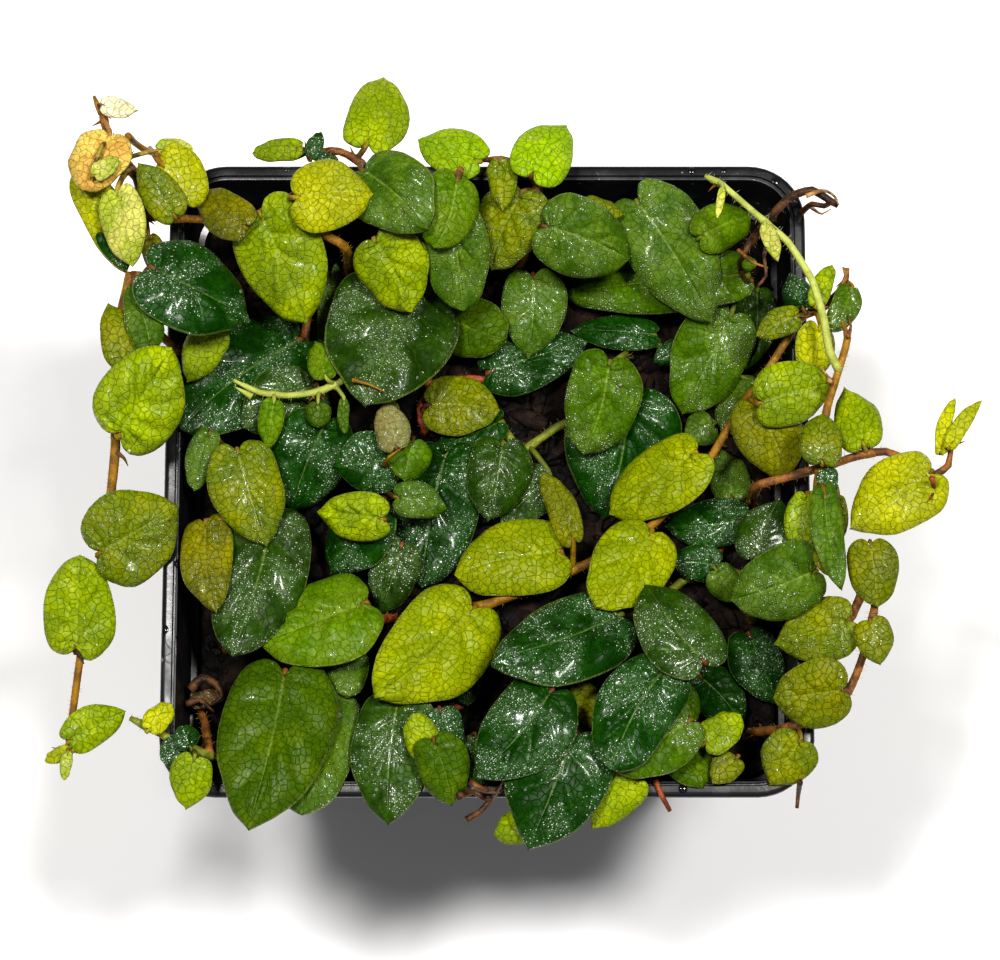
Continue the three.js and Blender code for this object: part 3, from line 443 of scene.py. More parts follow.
class HeightField:
    """The highest thing so far over each square millimetre, on which the next stem or leaf comes to lie."""

    def __init__(self, reach: int = FIELD_REACH) -> None:
        """Lays out the bare soil, the rim and the ground.

        Args:
            reach: How far the field goes from the middle, in mm.
        """
        self.reach = reach
        self.size = 2 * reach
        middles = np.arange(self.size) + 0.5 - reach
        self.xs, self.ys = np.meshgrid(middles, middles)
        rim = POT_WIDTH / 2
        straight = rim - RIM_CORNER
        over_x, over_y = (np.maximum(np.abs(v) - straight, 0) for v in (self.xs, self.ys))
        corner = np.hypot(over_x, over_y)
        far = np.maximum(np.abs(self.xs), np.abs(self.ys)) > straight
        out = np.where(far, corner - RIM_CORNER, -RIM_CORNER)
        inside = np.where(out > -LIP_WIDTH - INNER_DRAFT, POT_HEIGHT, SOIL_LEVEL + SOIL_RELIEF)
        self.tops = np.where(out > LAID_MARGIN, 0.0, inside)

    def _window(self, low: Sequence[float], high: Sequence[float]) -> tuple[slice, slice]:
        """The rows and columns of the cells whose middles lie in a box."""
        ends = [min(self.size - 1, max(0, math.floor(v + self.reach))) for v in (*low, *high)]
        return slice(ends[1], ends[3] + 1), slice(ends[0], ends[2] + 1)

    def along(self, a: np.ndarray, b: np.ndarray, distance: float) -> tuple[tuple, np.ndarray, np.ndarray]:
        """The cells near the line from a to b.

        Args:
            a: The line's start.
            b: The line's end.
            distance: How far from the line a cell may be, in mm.

        Returns:
            The window of the cells, which of them are near, and each one's share of the way to b.
        """
        low = np.minimum(a[:2], b[:2]) - distance
        high = np.maximum(a[:2], b[:2]) + distance
        window = self._window(low, high)
        xs, ys = self.xs[window], self.ys[window]
        step = b[:2] - a[:2]
        share = ((xs - a[0]) * step[0] + (ys - a[1]) * step[1]) / max(float(step @ step), TINY)
        share = np.clip(share, 0, 1)
        near = np.hypot(xs - a[0] - share * step[0], ys - a[1] - share * step[1]) <= distance
        return window, near, share

    def highest(self, a: np.ndarray, b: np.ndarray, distance: float) -> float:
        """The highest top within a distance of the line from a to b."""
        window, near, _ = self.along(a, b, distance)
        return float(self.tops[window][near].max(initial=0.0))

    def lay_stem(self, a: np.ndarray, b: np.ndarray, radius: float) -> None:
        """Lays a round stem from a to b over what is there."""
        window, near, share = self.along(a, b, radius + LAID_MARGIN)
        top = a[2] + share * (b[2] - a[2]) + radius + LAID_GAP
        part = self.tops[window]
        part[near] = np.maximum(part[near], top[near])

    def top_at(self, x: float, y: float) -> float:
        """The highest top over a place."""
        row, column = (min(self.size - 1, max(0, math.floor(v + self.reach))) for v in (y, x))
        return float(self.tops[row, column])


def smooth_line(points: Sequence[np.ndarray], step: float) -> list[np.ndarray]:
    """Points along a smooth line through the given ones, about a step apart.

    Args:
        points: The points that the line goes through.
        step: The usual distance between the new points, in mm.

    Returns:
        The points of the line, with its two ends.
    """
    line = [points[0]]
    for i in range(len(points) - 1):
        a, b, c, d = points[max(i - 1, 0)], points[i], points[i + 1], points[min(i + 2, len(points) - 1)]
        count = max(1, math.floor(math.hypot(*(c - b)[:2]) / step + 0.5))
        for t in (np.arange(count) + 1) / count:
            bend = 2 * a - 5 * b + 4 * c - d + t * (3 * (b - c) + d - a)
            line.append(b + 0.5 * t * (c - a + t * bend))
    return line


def blade_half_width(share: np.ndarray) -> np.ndarray:
    """The half width of a laid blade at shares of its length, as a share of its greatest half width."""
    along = [point[0] for point in BLADE_SIDE]
    across = [point[1] for point in BLADE_SIDE]
    return np.interp(np.clip(share, 0.02, 0.96), along, across)


@dataclass
class LeafBed:
    """Where a leaf lies: its base, its direction, its slopes and the height of its base, in mm."""

    base: np.ndarray
    along: np.ndarray
    length: float
    half: float
    window: tuple = ()
    p: Optional[np.ndarray] = None
    q: Optional[np.ndarray] = None
    height: float = 0.0
    rise: float = 0.0
    roll: float = 0.0

    @property
    def upward(self) -> Vector:
        """The way that one millimetre of lift goes."""
        along_x, along_y = self.along
        return Vector((
            self.roll * along_y - self.rise * along_x,
            -self.rise * along_y - self.roll * along_x,
            1.0,
        ))

    def point(self, share: float, half_share: float, lift: float) -> np.ndarray:
        """A point of the blade, at a height over the blade's own slope."""
        return self.points(np.array([share * self.length]), np.array([half_share * self.half]), lift)[0]

    def points(self, p: np.ndarray, q: np.ndarray, lift: np.ndarray) -> np.ndarray:
        """Points of the blade.

        Args:
            p: How far along the blade each one is, in mm.
            q: How far to the left of the midrib each one is, in mm.
            lift: How far over the blade's own slope each one is, in mm.

        Returns:
            One row of x, y and z for each point.
        """
        along_x, along_y = self.along
        forward = p - lift * self.rise
        left = q - lift * self.roll
        return np.stack(
            [
                self.base[0] + forward * along_x - left * along_y,
                self.base[1] + forward * along_y + left * along_x,
                self.height + p * self.rise + q * self.roll + lift,
            ],
            axis=1,
        )


@dataclass
class LaidLeaf:
    """A leaf with its bed, the line of its stalk and its tone."""

    bed: LeafBed
    stalk: list
    tone: LeafTone


@dataclass
class LaidVine:
    """A vine as it lies: its stems' lines with their barks, and its leaves."""

    plan: VinePlan
    stems: list = field(default_factory=list)
    leaves: list = field(default_factory=list)


@dataclass
class Layering:
    """Lays the vines down one after the other, each over what is there."""

    ground: HeightField = field(default_factory=HeightField)

    def lay(self, plan: VinePlan) -> LaidVine:
        """Lays one vine.

        Args:
            plan: The vine on the sheet.

        Returns:
            The vine as it lies.
        """
        vine = LaidVine(plan)
        lines: list[list[np.ndarray]] = []
        for index, (bark, points) in enumerate(plan.stems):
            start = None
            if index:
                start = self._nearest(lines, self._sheet_point(points[0], plan.level))
            line = self._drape(plan, points, start)
            lines.append(line)
            vine.stems.append((bark, line))
        for line in lines:
            for a, b in zip(line, line[1:]):
                self.ground.lay_stem(a, b, STEM_RADIUS)
        for entry in plan.leaves:
            vine.leaves.append(self._lay_leaf(plan, entry, lines))
        return vine

    @staticmethod
    def _sheet_point(point: Sequence[float], level: float) -> np.ndarray:
        """The place of a stem's point, which may give its own height."""
        return SHEET.place(point[0], point[1], point[2] if len(point) > 2 else level)

    def _drape(self, plan: VinePlan, points: list, start: Optional[np.ndarray]) -> list[np.ndarray]:
        """A stem's line: over what lies below it, and drawn smooth between the high places.

        Args:
            plan: The vine.
            points: The stem's points on the sheet.
            start: The place on another stem where it starts, or None for a stem with a root.

        Returns:
            The points of the line.
        """
        ends = []
        for point in points:
            x, y = self._sheet_point(point, plan.level)
            ends.append(np.array([x, y, point[2] if len(point) > 2 else 0.0]))
        if start is not None:
            ends[0] = start
        line = [point.copy() for point in smooth_line(ends, STEM_STEP)]
        needed = [0.0] * len(line)
        for i in range(len(line) - 1):
            top = self.ground.highest(line[i], line[i + 1], STEM_RADIUS + STEM_MARGIN)
            top = top + STEM_RADIUS + CLEARANCE
            needed[i] = max(needed[i], top)
            needed[i + 1] = max(needed[i + 1], top)
        free = any(len(point) > 2 for point in points)
        for i, point in enumerate(line):
            if start is None or i:
                point[2] = max(needed[i], point[2] if free else 0.0)
        for _ in range(DRAPE_PASSES):
            for i in range(1, len(line) - 1):
                line[i][2] = max(line[i][2], 0.5 * (line[i - 1][2] + line[i + 1][2]))
        return line

    @staticmethod
    def _nearest(lines: list, place: np.ndarray) -> np.ndarray:
        """The point of the stems' lines that lies nearest to a place, seen from above."""
        best, best_distance = None, math.inf
        for line in lines:
            for a, b in zip(line, line[1:]):
                for quarter in range(QUARTERS + 1):
                    point = a + quarter / QUARTERS * (b - a)
                    distance = math.hypot(point[0] - place[0], point[1] - place[1])
                    if distance < best_distance - TINY:
                        best, best_distance = point, distance
        return best

    def _leaf_at(self, entry: tuple, z: float) -> LeafBed:
        """A leaf's place on the plan when it lies at a height, with the cells that it covers."""
        base, tip = SHEET.place(entry[0], entry[1], z), SHEET.place(entry[2], entry[3], z)
        length = math.hypot(*(tip - base))
        along = (tip - base) / length
        half = entry[4] / SHEET.units_per_mm / 2
        reach = half + BLADE_MARGIN
        window = self.ground._window(np.minimum(base, tip) - reach, np.maximum(base, tip) + reach)
        dx, dy = self.ground.xs[window] - base[0], self.ground.ys[window] - base[1]
        p, q = dx * along[0] + dy * along[1], dy * along[0] - dx * along[1]
        inside = (p > -BLADE_TAIL * length - BLADE_MARGIN) & (p < length + BLADE_MARGIN)
        inside &= np.abs(q) < half * blade_half_width(p / length) + BLADE_MARGIN
        rows, columns = np.nonzero(inside)
        cells = (rows + window[0].start, columns + window[1].start)
        return LeafBed(base, along, length, half, cells, p[inside], q[inside])

    def _lowest(self, bed: LeafBed, stem_height: float) -> None:
        """Gives a leaf the pair of slopes in which it lies lowest over what it covers."""
        tops = self.ground.tops[bed.window] + CLEARANCE
        best = math.inf
        for rise in SLOPES_ALONG:
            for roll in SLOPES_ACROSS:
                needed = (tops - rise * bed.p - roll * bed.q).max(initial=-math.inf)
                height = max(stem_height + LEAF_RISE, float(needed))
                tilt = abs(rise - USUAL_RISE) + abs(roll)
                cost = height + rise * bed.length * WEIGHT_POINT + SLOPE_COST * tilt
                if cost < best - TINY:
                    best = cost
                    bed.height, bed.rise, bed.roll = height, rise, roll

    def _lay_leaf(self, plan: VinePlan, entry: tuple, lines: list) -> LaidLeaf:
        """Lays a leaf where the sheet shows it at the height that it comes to.

        Args:
            plan: The vine.
            entry: The leaf on the sheet.
            lines: The vine's stems.

        Returns:
            The leaf as it lies.
        """
        place = SHEET.place(entry[0], entry[1], plan.level)
        stem_point = self._nearest(lines, place)
        below = self.ground.highest(stem_point, place, STALK_HALF + SEAT_GAP)
        bed = self._leaf_at(entry, plan.level)
        self._lowest(bed, stem_point[2])
        bed = self._leaf_at(entry, bed.height + WEIGHT_POINT * bed.length * bed.rise)
        self._lowest(bed, stem_point[2])
        arch = CROWN * 2 * bed.half * (1 - np.minimum(1, np.abs(bed.q) / bed.half))
        top = bed.height + bed.rise * bed.p + bed.roll * bed.q + arch + BLADE_TOP * BLADE_THICKNESS
        self.ground.tops[bed.window] = np.maximum(self.ground.tops[bed.window], top)
        stalk = self._stalk_line(bed, stem_point, below)
        for a, b in zip(stalk[1:], stalk[2:]):
            self.ground.lay_stem(a, b, STALK_HALF)
        return LaidLeaf(bed, stalk, entry[5])

    @staticmethod
    def _stalk_line(bed: LeafBed, start: np.ndarray, below: float) -> list[np.ndarray]:
        """The line of a leaf's stalk, from the blade's notch to the stem's middle."""
        notch = bed.point(BLADE_NOTCH, 0, NOTCH_CROWN * CROWN * 2 * bed.half + BLADE_THICKNESS / 2)
        behind = notch - np.array([*STALK_BACK * bed.along, STALK_BACK * bed.rise + STALK_DROP])
        if math.hypot(behind[0] - start[0], behind[1] - start[1]) < SHORT_STALK:
            return [notch, behind, start]
        middle = start + STALK_BEND * (behind - start)
        middle[2] = max(middle[2], min(below + STALK_HALF + 2 * CLEARANCE, behind[2]))
        return [notch, behind, middle, start]


class NodeSheet:
    """Lays out the nodes of a material or of a shader node group."""

    def __init__(self, tree: bpy.types.NodeTree) -> None:
        """Starts on an empty tree.

        Args:
            tree: The node tree to fill.
        """
        self.tree = tree
        self.shader = next((node for node in tree.nodes if node.type == "BSDF_PRINCIPLED"), None)

    def feed(self, node: bpy.types.Node, inputs: dict) -> bpy.types.Node:
        """Gives a node's inputs their values or links.

        Args:
            node: The node.
            inputs: Values or sockets, by the input's name or number.

        Returns:
            The same node.
        """
        for key, value in inputs.items():
            if isinstance(value, Socket):
                self.tree.links.new(value, node.inputs[key])
            else:
                node.inputs[key].default_value = value
        return node

    def add(self, kind: str, inputs: Optional[dict] = None, **settings: object) -> bpy.types.Node:
        """Adds a node.

        Args:
            kind: The node's type without its ShaderNode prefix.
            inputs: Values or sockets, by the input's name or number.
            settings: Its properties.

        Returns:
            The node.
        """
        node = self.tree.nodes.new("ShaderNode" + kind)
        for name, value in settings.items():
            setattr(node, name, value)
        return self.feed(node, inputs or {})

    def math(
        self, operation: str, a: object, b: object = 0.0, c: object = 0.0, clamp: bool = False
    ) -> Socket:
        """Works one sum on two or three numbers."""
        return self.add("Math", {0: a, 1: b, 2: c}, operation=operation, use_clamp=clamp).outputs[0]

    def times(self, a: object, b: object) -> Socket:
        """The product of two numbers."""
        return self.math("MULTIPLY", a, b)

    def ramp(self, value: object, start: float, end: float, low: float = 0.0, high: float = 1.0) -> Socket:
        """Turns a number that goes from start to end into one that goes smoothly from low to high."""
        inputs = {"Value": value, "From Min": start, "From Max": end, "To Min": low, "To Max": high}
        return self.add("MapRange", inputs, interpolation_type="SMOOTHSTEP").outputs[0]

    def mix(self, share: object, a: object, b: object, blend: str = "MIX") -> Socket:
        """Mixes two colours."""
        node = self.add("Mix", data_type="RGBA", blend_type=blend)
        return self.feed(node, {0: share, 6: a, 7: b}).outputs[2]

    def noise(
        self, place: object, scale: float, detail: float = 2.0, rough: float = 0.5, room: str = "3D"
    ) -> Socket:
        """Cloudy noise from 0 to 1, in space or on a flat map."""
        inputs = {"Vector": place, "Scale": scale, "Detail": detail, "Roughness": rough}
        return self.add("TexNoise", inputs, noise_dimensions=room).outputs[0]

    def cells(
        self, place: object, scale: object, feature: str = "DISTANCE_TO_EDGE", room: str = "3D"
    ) -> bpy.types.Node:
        """A pattern of cells, by the distance to their edges or to their middles."""
        inputs = {"Vector": place, "Scale": scale}
        return self.add("TexVoronoi", inputs, feature=feature, voronoi_dimensions=room)

    def chart(self, name: str) -> Socket:
        """A place on one of the mesh's flat maps."""
        return self.add("UVMap", uv_map=name).outputs[0]

    def bump(self, height: object, distance: float, strength: float = 1.0) -> Socket:
        """A normal that is bent by a height."""
        inputs = {"Height": height, "Distance": distance, "Strength": strength}
        return self.add("Bump", inputs).outputs[0]

    def place_group(self, tree: bpy.types.NodeTree, inputs: dict) -> Socket:
        """Places a node group with its own values, and gives what comes out."""
        node = self.add("Group")
        node.node_tree = tree
        return self.feed(node, inputs).outputs[0]

    def object_place(self) -> Socket:
        """The place on the object, in metres."""
        return self.add("TexCoord").outputs["Object"]

    def attribute(self, name: str) -> tuple[Socket, Socket]:
        """A colour that is kept with the mesh, and its fourth value."""
        node = self.add("Attribute", attribute_name=name, attribute_type="GEOMETRY")
        return node.outputs["Color"], node.outputs["Alpha"]


def rgba(code: str) -> tuple[float, float, float, float]:
    """A colour of six hexadecimal digits as linear light with a full fourth value."""
    return (*linear(code), 1.0)


class Finish:
    """Makes a material with one Principled shader."""

    name = "finish"

    def __init__(self) -> None:
        """Holds no material until the first piece asks for it."""
        self._made: Optional[bpy.types.Material] = None

    def material(self) -> bpy.types.Material:
        """The material, made on first use."""
        if self._made is None:
            self._made = bpy.data.materials.new(self.name)
            self._made.use_nodes = True
            self.dress(NodeSheet(self._made.node_tree))
        return self._made

    def dress(self, sheet: NodeSheet) -> None:
        """Lays out the nodes that feed the sheet's Principled shader."""
        raise NotImplementedError


def start_group(name: str, inputs: dict[str, str], outputs: dict[str, str]) -> NodeSheet:
    """Starts a shader node group with named sockets.

    Args:
        name: The group's name.
        inputs: Socket types by name.
        outputs: Socket types by name.

    Returns:
        A node sheet on the group.
    """
    tree = bpy.data.node_groups.new(name, "ShaderNodeTree")
    for direction, sockets in (("INPUT", inputs), ("OUTPUT", outputs)):
        for label, kind in sockets.items():
            tree.interface.new_socket(label, in_out=direction, socket_type="NodeSocket" + kind)
    return NodeSheet(tree)


class SharedEffects:
    """The node groups that several finishes use."""

    _groups: dict[str, bpy.types.NodeTree] = {}

    @classmethod
    def beads(cls, room: str = "3D") -> bpy.types.NodeTree:
        """Small beads of water: where they are and how high they stand.

        Args:
            room: Whether their place is in space or on a flat map.

        Returns:
            The node group.
        """
        key = "beads_" + room
        if key not in cls._groups:
            sheet = start_group(
                "water_" + key,
                {"Place": "Vector", "Scale": "Float", "Density": "Float", "Reach": "Float"},
                {"Bead": "Float"},
            )
            given = sheet.tree.nodes.new("NodeGroupInput").outputs
            cell = sheet.cells(given["Place"], given["Scale"], "F1", room)
            split = sheet.add("SeparateColor", {"Color": cell.outputs["Color"]})
            there = sheet.math("LESS_THAN", split.outputs[0], given["Density"])
            size = sheet.times(sheet.math("ADD", split.outputs[1], 0.45), given["Reach"])
            near = sheet.math("DIVIDE", cell.outputs["Distance"], size)
            dome = sheet.math("SUBTRACT", 1.0, sheet.times(near, near), clamp=True)
            bead = sheet.times(sheet.math("POWER", dome, 0.6), there)
            result = sheet.tree.nodes.new("NodeGroupOutput")
            sheet.tree.links.new(bead, result.inputs["Bead"])
            cls._groups[key] = sheet.tree
        return cls._groups[key]

    @classmethod
    def cloud(cls) -> bpy.types.NodeTree:
        """A cloudy change from one colour to another, with a light and dark drift over both."""
        if "cloud" not in cls._groups:
            sheet = start_group(
                "cloudy_colour",
                {"Place": "Vector", "Scale": "Float", "First": "Color", "Second": "Color", "Drift": "Float"},
                {"Colour": "Color"},
            )
            given = sheet.tree.nodes.new("NodeGroupInput").outputs
            fine = sheet.add("TexNoise", {"Vector": given["Place"], "Scale": given["Scale"], "Detail": 3.0})
            share = sheet.ramp(fine.outputs[0], 0.42, 0.62)
            mixed = sheet.mix(share, given["First"], given["Second"])
            wide = sheet.noise(given["Place"], 60.0)
            drift = sheet.times(sheet.math("SUBTRACT", wide, 0.5), given["Drift"])
            level = sheet.math("ADD", 1.0, drift)
            tinted = sheet.add("VectorMath", {0: mixed, "Scale": level}, operation="SCALE").outputs[0]
            result = sheet.tree.nodes.new("NodeGroupOutput")
            sheet.tree.links.new(tinted, result.inputs["Colour"])
            cls._groups["cloud"] = sheet.tree
        return cls._groups["cloud"]


@dataclass(frozen=True)
class BladeNet:
    """The sizes and strengths of the pattern in a leaf's skin, on its map in millimetres."""

    ribs: int = 6
    cells_per_mm: float = 1.05
    clouds_per_mm: float = 0.22
    speckles_per_mm: float = 1.6
    film_per_mm: float = 0.16
    sways_per_mm: float = 0.5
    beads_per_mm: float = 3.1
    bead_reach: float = 0.30
    rib_share: float = 0.09
    rib_sway: float = 0.05
    net_strength: float = 0.30
    rib_strength: float = 0.30
    midrib_strength: float = 0.34
    zone_strength: float = 0.32
    film_strength: float = 0.38
    relief: float = 0.0003
    pale: str = "c4d27c"
    # The grey-green of the painted sheen on the damp zones of the leaves.
    haze: str = "64845a"
    # The near-white that is painted on the water beads as painted glints.
    painted_glint: str = "dfe8dc"


class LeafSkin(Finish):
    """Living leaf: a quilted blade with a midrib, a net of veins and fine beads of water, with painted glints
    on the beads and a painted grey-green sheen on the damp zones.
    """

    name = "fig_leaf_skin"
    net = BladeNet()

    def dress(self, sheet: NodeSheet) -> None:
        """Lays out the leaf's nodes.

        Args:
            sheet: The material's node sheet.
        """
        net = self.net
        face, wet = sheet.attribute("leaf_face")
        patch, dull = sheet.attribute("leaf_patch")
        net_colour, _ = sheet.attribute("leaf_net")
        skin = sheet.chart("skin")
        rib, midrib, across = self._veins(sheet, skin)
        cell = sheet.cells(skin, net.cells_per_mm, room="2D").outputs["Distance"]
        mesh = sheet.ramp(cell, 0.0, 0.09, 1.0, 0.0)
        cloud = sheet.noise(skin, net.clouds_per_mm, 2.0, 0.55, "2D")
        colour = sheet.mix(sheet.ramp(cloud, 0.42, 0.62), face, patch)
        colour = sheet.mix(sheet.times(mesh, net.net_strength), colour, net_colour)
        colour = sheet.mix(sheet.times(rib, net.rib_strength), colour, net_colour)
        pale = sheet.mix(0.38, net_colour, rgba(net.pale))
        colour = sheet.mix(sheet.times(midrib, net.midrib_strength), colour, pale)
        colour = sheet.mix(sheet.ramp(across, 0.965, 1.0, 0.0, 0.45), colour, pale)
        speckle = sheet.noise(skin, net.speckles_per_mm, 2.0, 0.6, "2D")
        level = sheet.ramp(speckle, 0.3, 0.7, 0.82, 1.17)
        colour = sheet.add("VectorMath", {0: colour, "Scale": level}, operation="SCALE").outputs[0]
        zones = sheet.ramp(sheet.noise(skin, net.film_per_mm, 2.0, 0.5, "2D"), 0.38, 0.62)
        colour = sheet.mix(sheet.times(zones, net.zone_strength), colour, net_colour)
        damp = sheet.times(zones, wet)
        # Painted sheen: the damp zones are greyed toward the haze colour, as the wet film's sheen under the
        # lamps.
        haze = sheet.times(damp, sheet.ramp(speckle, 0.35, 0.75, 0.10, 0.42))
        colour = sheet.mix(haze, colour, rgba(net.haze))
        bead_inputs = {"Place": skin, "Scale": net.beads_per_mm, "Density": damp, "Reach": net.bead_reach}
        beads = sheet.place_group(SharedEffects.beads("2D"), bead_inputs)
        # Painted highlight: the beads are whitened where the speckle is bright and the leaf is wet, as
        # painted glints of the lamps.
        bright = sheet.ramp(speckle, 0.35, 0.65, 0.35, 1.0)
        glint = sheet.times(bright, sheet.ramp(wet, 0.0, 0.7, 0.3, 1.0))
        painted_glint = sheet.times(sheet.ramp(beads, 0.45, 0.9), glint)
        colour = sheet.mix(painted_glint, colour, rgba(net.painted_glint))
        film = sheet.math("MAXIMUM", sheet.times(damp, net.film_strength), beads)
        height = sheet.math("MULTIPLY_ADD", mesh, -0.30, sheet.times(beads, 0.8))
        sheet.feed(sheet.shader, {
            "Base Color": colour,
            "Roughness": dull,
            "Normal": sheet.bump(height, net.relief),
            "Specular IOR Level": 0.10,
            "Coat Weight": film,
            "Coat Roughness": 0.14,
            "Coat IOR": 1.4,
        })

    def _veins(self, sheet: NodeSheet, skin: Socket) -> tuple[Socket, Socket, Socket]:
        """The side ribs, the midrib, and how near the margin a place is.

        Args:
            sheet: The material's node sheet.
            skin: The place on the skin map.

        Returns:
            Three numbers from 0 to 1.
        """
        spot = sheet.add("SeparateXYZ", {0: sheet.chart("blade")}).outputs
        across = sheet.math("ABSOLUTE", sheet.math("SUBTRACT", spot[1], 0.5))
        across = sheet.times(across, 2.0)
        sway = sheet.math("SUBTRACT", sheet.noise(skin, self.net.sways_per_mm, 0.0, room="2D"), 0.5)
        along = sheet.math("ADD", spot[0], sheet.times(sway, self.net.rib_sway))
        off_rib = sheet.math("PINGPONG", sheet.times(along, float(self.net.ribs)), 0.5)
        rib = sheet.ramp(off_rib, 0.0, self.net.rib_share, 1.0, 0.0)
        rib = sheet.times(rib, sheet.ramp(across, 0.55, 0.95, 1.0, 0.0))
        midrib = sheet.ramp(across, 0.0, self.net.rib_share / 2, 1.0, 0.0)
        return rib, midrib, across


class StemBark(Finish):
    """Stem skin: streaked along its length, with a net of darker pits and a dull sheen."""

    name = "fig_stem_bark"

    def dress(self, sheet: NodeSheet) -> None:
        """Lays out the bark's nodes.

        Args:
            sheet: The material's node sheet.
        """
        place = sheet.object_place()
        skin, _ = sheet.attribute("leaf_face")
        streak, _ = sheet.attribute("leaf_patch")
        clouds = {"Place": place, "Scale": 520.0, "First": skin, "Second": streak, "Drift": 0.7}
        colour = sheet.place_group(SharedEffects.cloud(), clouds)
        pits = sheet.ramp(sheet.cells(place, 1900.0).outputs["Distance"], 0.0, 0.2, 1.0, 0.0)
        colour = sheet.mix(sheet.times(pits, 0.35), colour, streak)
        grain = sheet.noise(place, 2400.0, 4.0, 0.65)
        height = sheet.math("SUBTRACT", grain, sheet.times(pits, 0.5))
        sheet.feed(sheet.shader, {
            "Base Color": colour,
            "Roughness": sheet.ramp(grain, 0.3, 0.7, 0.38, 0.62),
            "Normal": sheet.bump(height, 0.00006),
            "Specular IOR Level": 0.25,
        })


class WaterBead(Finish):
    """An opaque bead of water, painted in the colour of the leaf under it and a little whiter in places, as
    painted light seen through the water, with a mirror-like skin.
    """

    name = "water_bead"

    def dress(self, sheet: NodeSheet) -> None:
        """Lays out the water's nodes.

        Args:
            sheet: The material's node sheet.
        """
        ripple = sheet.noise(sheet.object_place(), 1800.0, 1.0)
        # Painted light: the bead is opaque and painted in its leaf's colour, whitened a little by the ripple,
        # in place of the leaf seen through clear water.
        seen, _ = sheet.attribute("leaf_face")
        sheet.feed(sheet.shader, {
            "Base Color": sheet.mix(sheet.ramp(ripple, 0.3, 0.7, 0.04, 0.16), seen, rgba("ffffff")),
            "Roughness": sheet.ramp(ripple, 0.3, 0.7, 0.04, 0.10),
            "Normal": sheet.bump(ripple, 0.00002),
            "IOR": 1.33,
            "Coat Weight": 1.0,
            "Coat Roughness": 0.04,
        })


class BlackPlastic(Finish):
    """Moulded black plastic: satin, with dust, fine scratches and specks of dried water."""

    name = "black_pot_plastic"
    plain = "141518"
    dusty = "3a3a3c"
    speck = "8c8880"
    scratched = "5c5c60"

    def dress(self, sheet: NodeSheet) -> None:
        """Lays out the plastic's nodes.

        Args:
            sheet: The material's node sheet.
        """
        place = sheet.object_place()
        haze = sheet.ramp(sheet.noise(place, 70.0, 5.0, 0.65), 0.45, 0.72)
        specks = sheet.place_group(
            SharedEffects.beads(), {"Place": place, "Scale": 620.0, "Density": 0.20, "Reach": 0.16}
        )
        drops = sheet.place_group(
            SharedEffects.beads(), {"Place": place, "Scale": 420.0, "Density": 0.30, "Reach": 0.26}
        )
        stretched = sheet.add("Mapping", {0: place, "Scale": (1.0, 1.0, 9.0)}).outputs[0]
        scratch = sheet.ramp(sheet.cells(stretched, 160.0).outputs["Distance"], 0.0, 0.012, 1.0, 0.0)
        scratch = sheet.times(scratch, haze)
        colour = sheet.mix(sheet.times(haze, 0.30), rgba(self.plain), rgba(self.dusty))
        colour = sheet.mix(sheet.times(specks, 0.65), colour, rgba(self.speck))
        colour = sheet.mix(sheet.times(scratch, 0.30), colour, rgba(self.scratched))
        rough = sheet.math("ADD", 0.26, sheet.times(haze, 0.22))
        rough = sheet.math("SUBTRACT", rough, sheet.times(drops, 0.2), clamp=True)
        height = sheet.times(sheet.noise(place, 900.0, 3.0), 0.12)
        height = sheet.math("ADD", height, drops)
        height = sheet.math("SUBTRACT", height, sheet.times(scratch, 0.2))
        sheet.feed(sheet.shader, {
            "Base Color": colour,
            "Roughness": rough,
            "Normal": sheet.bump(height, 0.00018),
            "Specular IOR Level": 0.35,
        })


class DampPeat(Finish):
    """Damp potting soil: near black crumbs with brown fibres and a wet glint."""

    name = "damp_peat"
    wet = "0b0806"
    dry = "241710"
    fibrous = "150e09"

    def dress(self, sheet: NodeSheet) -> None:
        """Lays out the soil's nodes.

        Args:
            sheet: The material's node sheet.
        """
        place = sheet.object_place()
        crumbs = sheet.cells(place, 480.0, "F1")
        own = sheet.add("SeparateColor", {"Color": crumbs.outputs["Color"]}).outputs[0]
        fibre = sheet.noise(place, 260.0, 6.0, 0.7)
        colour = sheet.mix(sheet.ramp(own, 0.5, 0.98), rgba(self.wet), rgba(self.dry))
        colour = sheet.mix(sheet.ramp(fibre, 0.5, 0.75), colour, rgba(self.fibrous))
        height = sheet.math("ADD", sheet.times(crumbs.outputs["Distance"], -1.0), fibre)
        sheet.feed(sheet.shader, {
            "Base Color": colour,
            "Roughness": sheet.ramp(fibre, 0.35, 0.7, 0.5, 0.9),
            "Specular IOR Level": 0.15,
            "Normal": sheet.bump(height, 0.0009),
        })


class StudioPaper(Finish):
    """The pale floor."""

    name = "studio_paper"

    def dress(self, sheet: NodeSheet) -> None:
        """Lays out the floor's nodes.

        Args:
            sheet: The material's node sheet.
        """
        mottle = sheet.noise(sheet.object_place(), 6.0, 3.0)
        sheet.feed(sheet.shader, {
            "Base Color": sheet.mix(sheet.ramp(mottle, 0.3, 0.7), rgba("eeeeee"), rgba("e9e9ec")),
            "Roughness": 0.7,
        })


LEAF_SKIN = LeafSkin()
STEM_BARK = StemBark()
WATER_BEAD = WaterBead()
BLACK_PLASTIC = BlackPlastic()
DAMP_PEAT = DampPeat()
STUDIO_PAPER = StudioPaper()


def link(piece: bpy.types.Object) -> None:
    """Puts an object in the scene."""
    bpy.context.scene.collection.objects.link(piece)


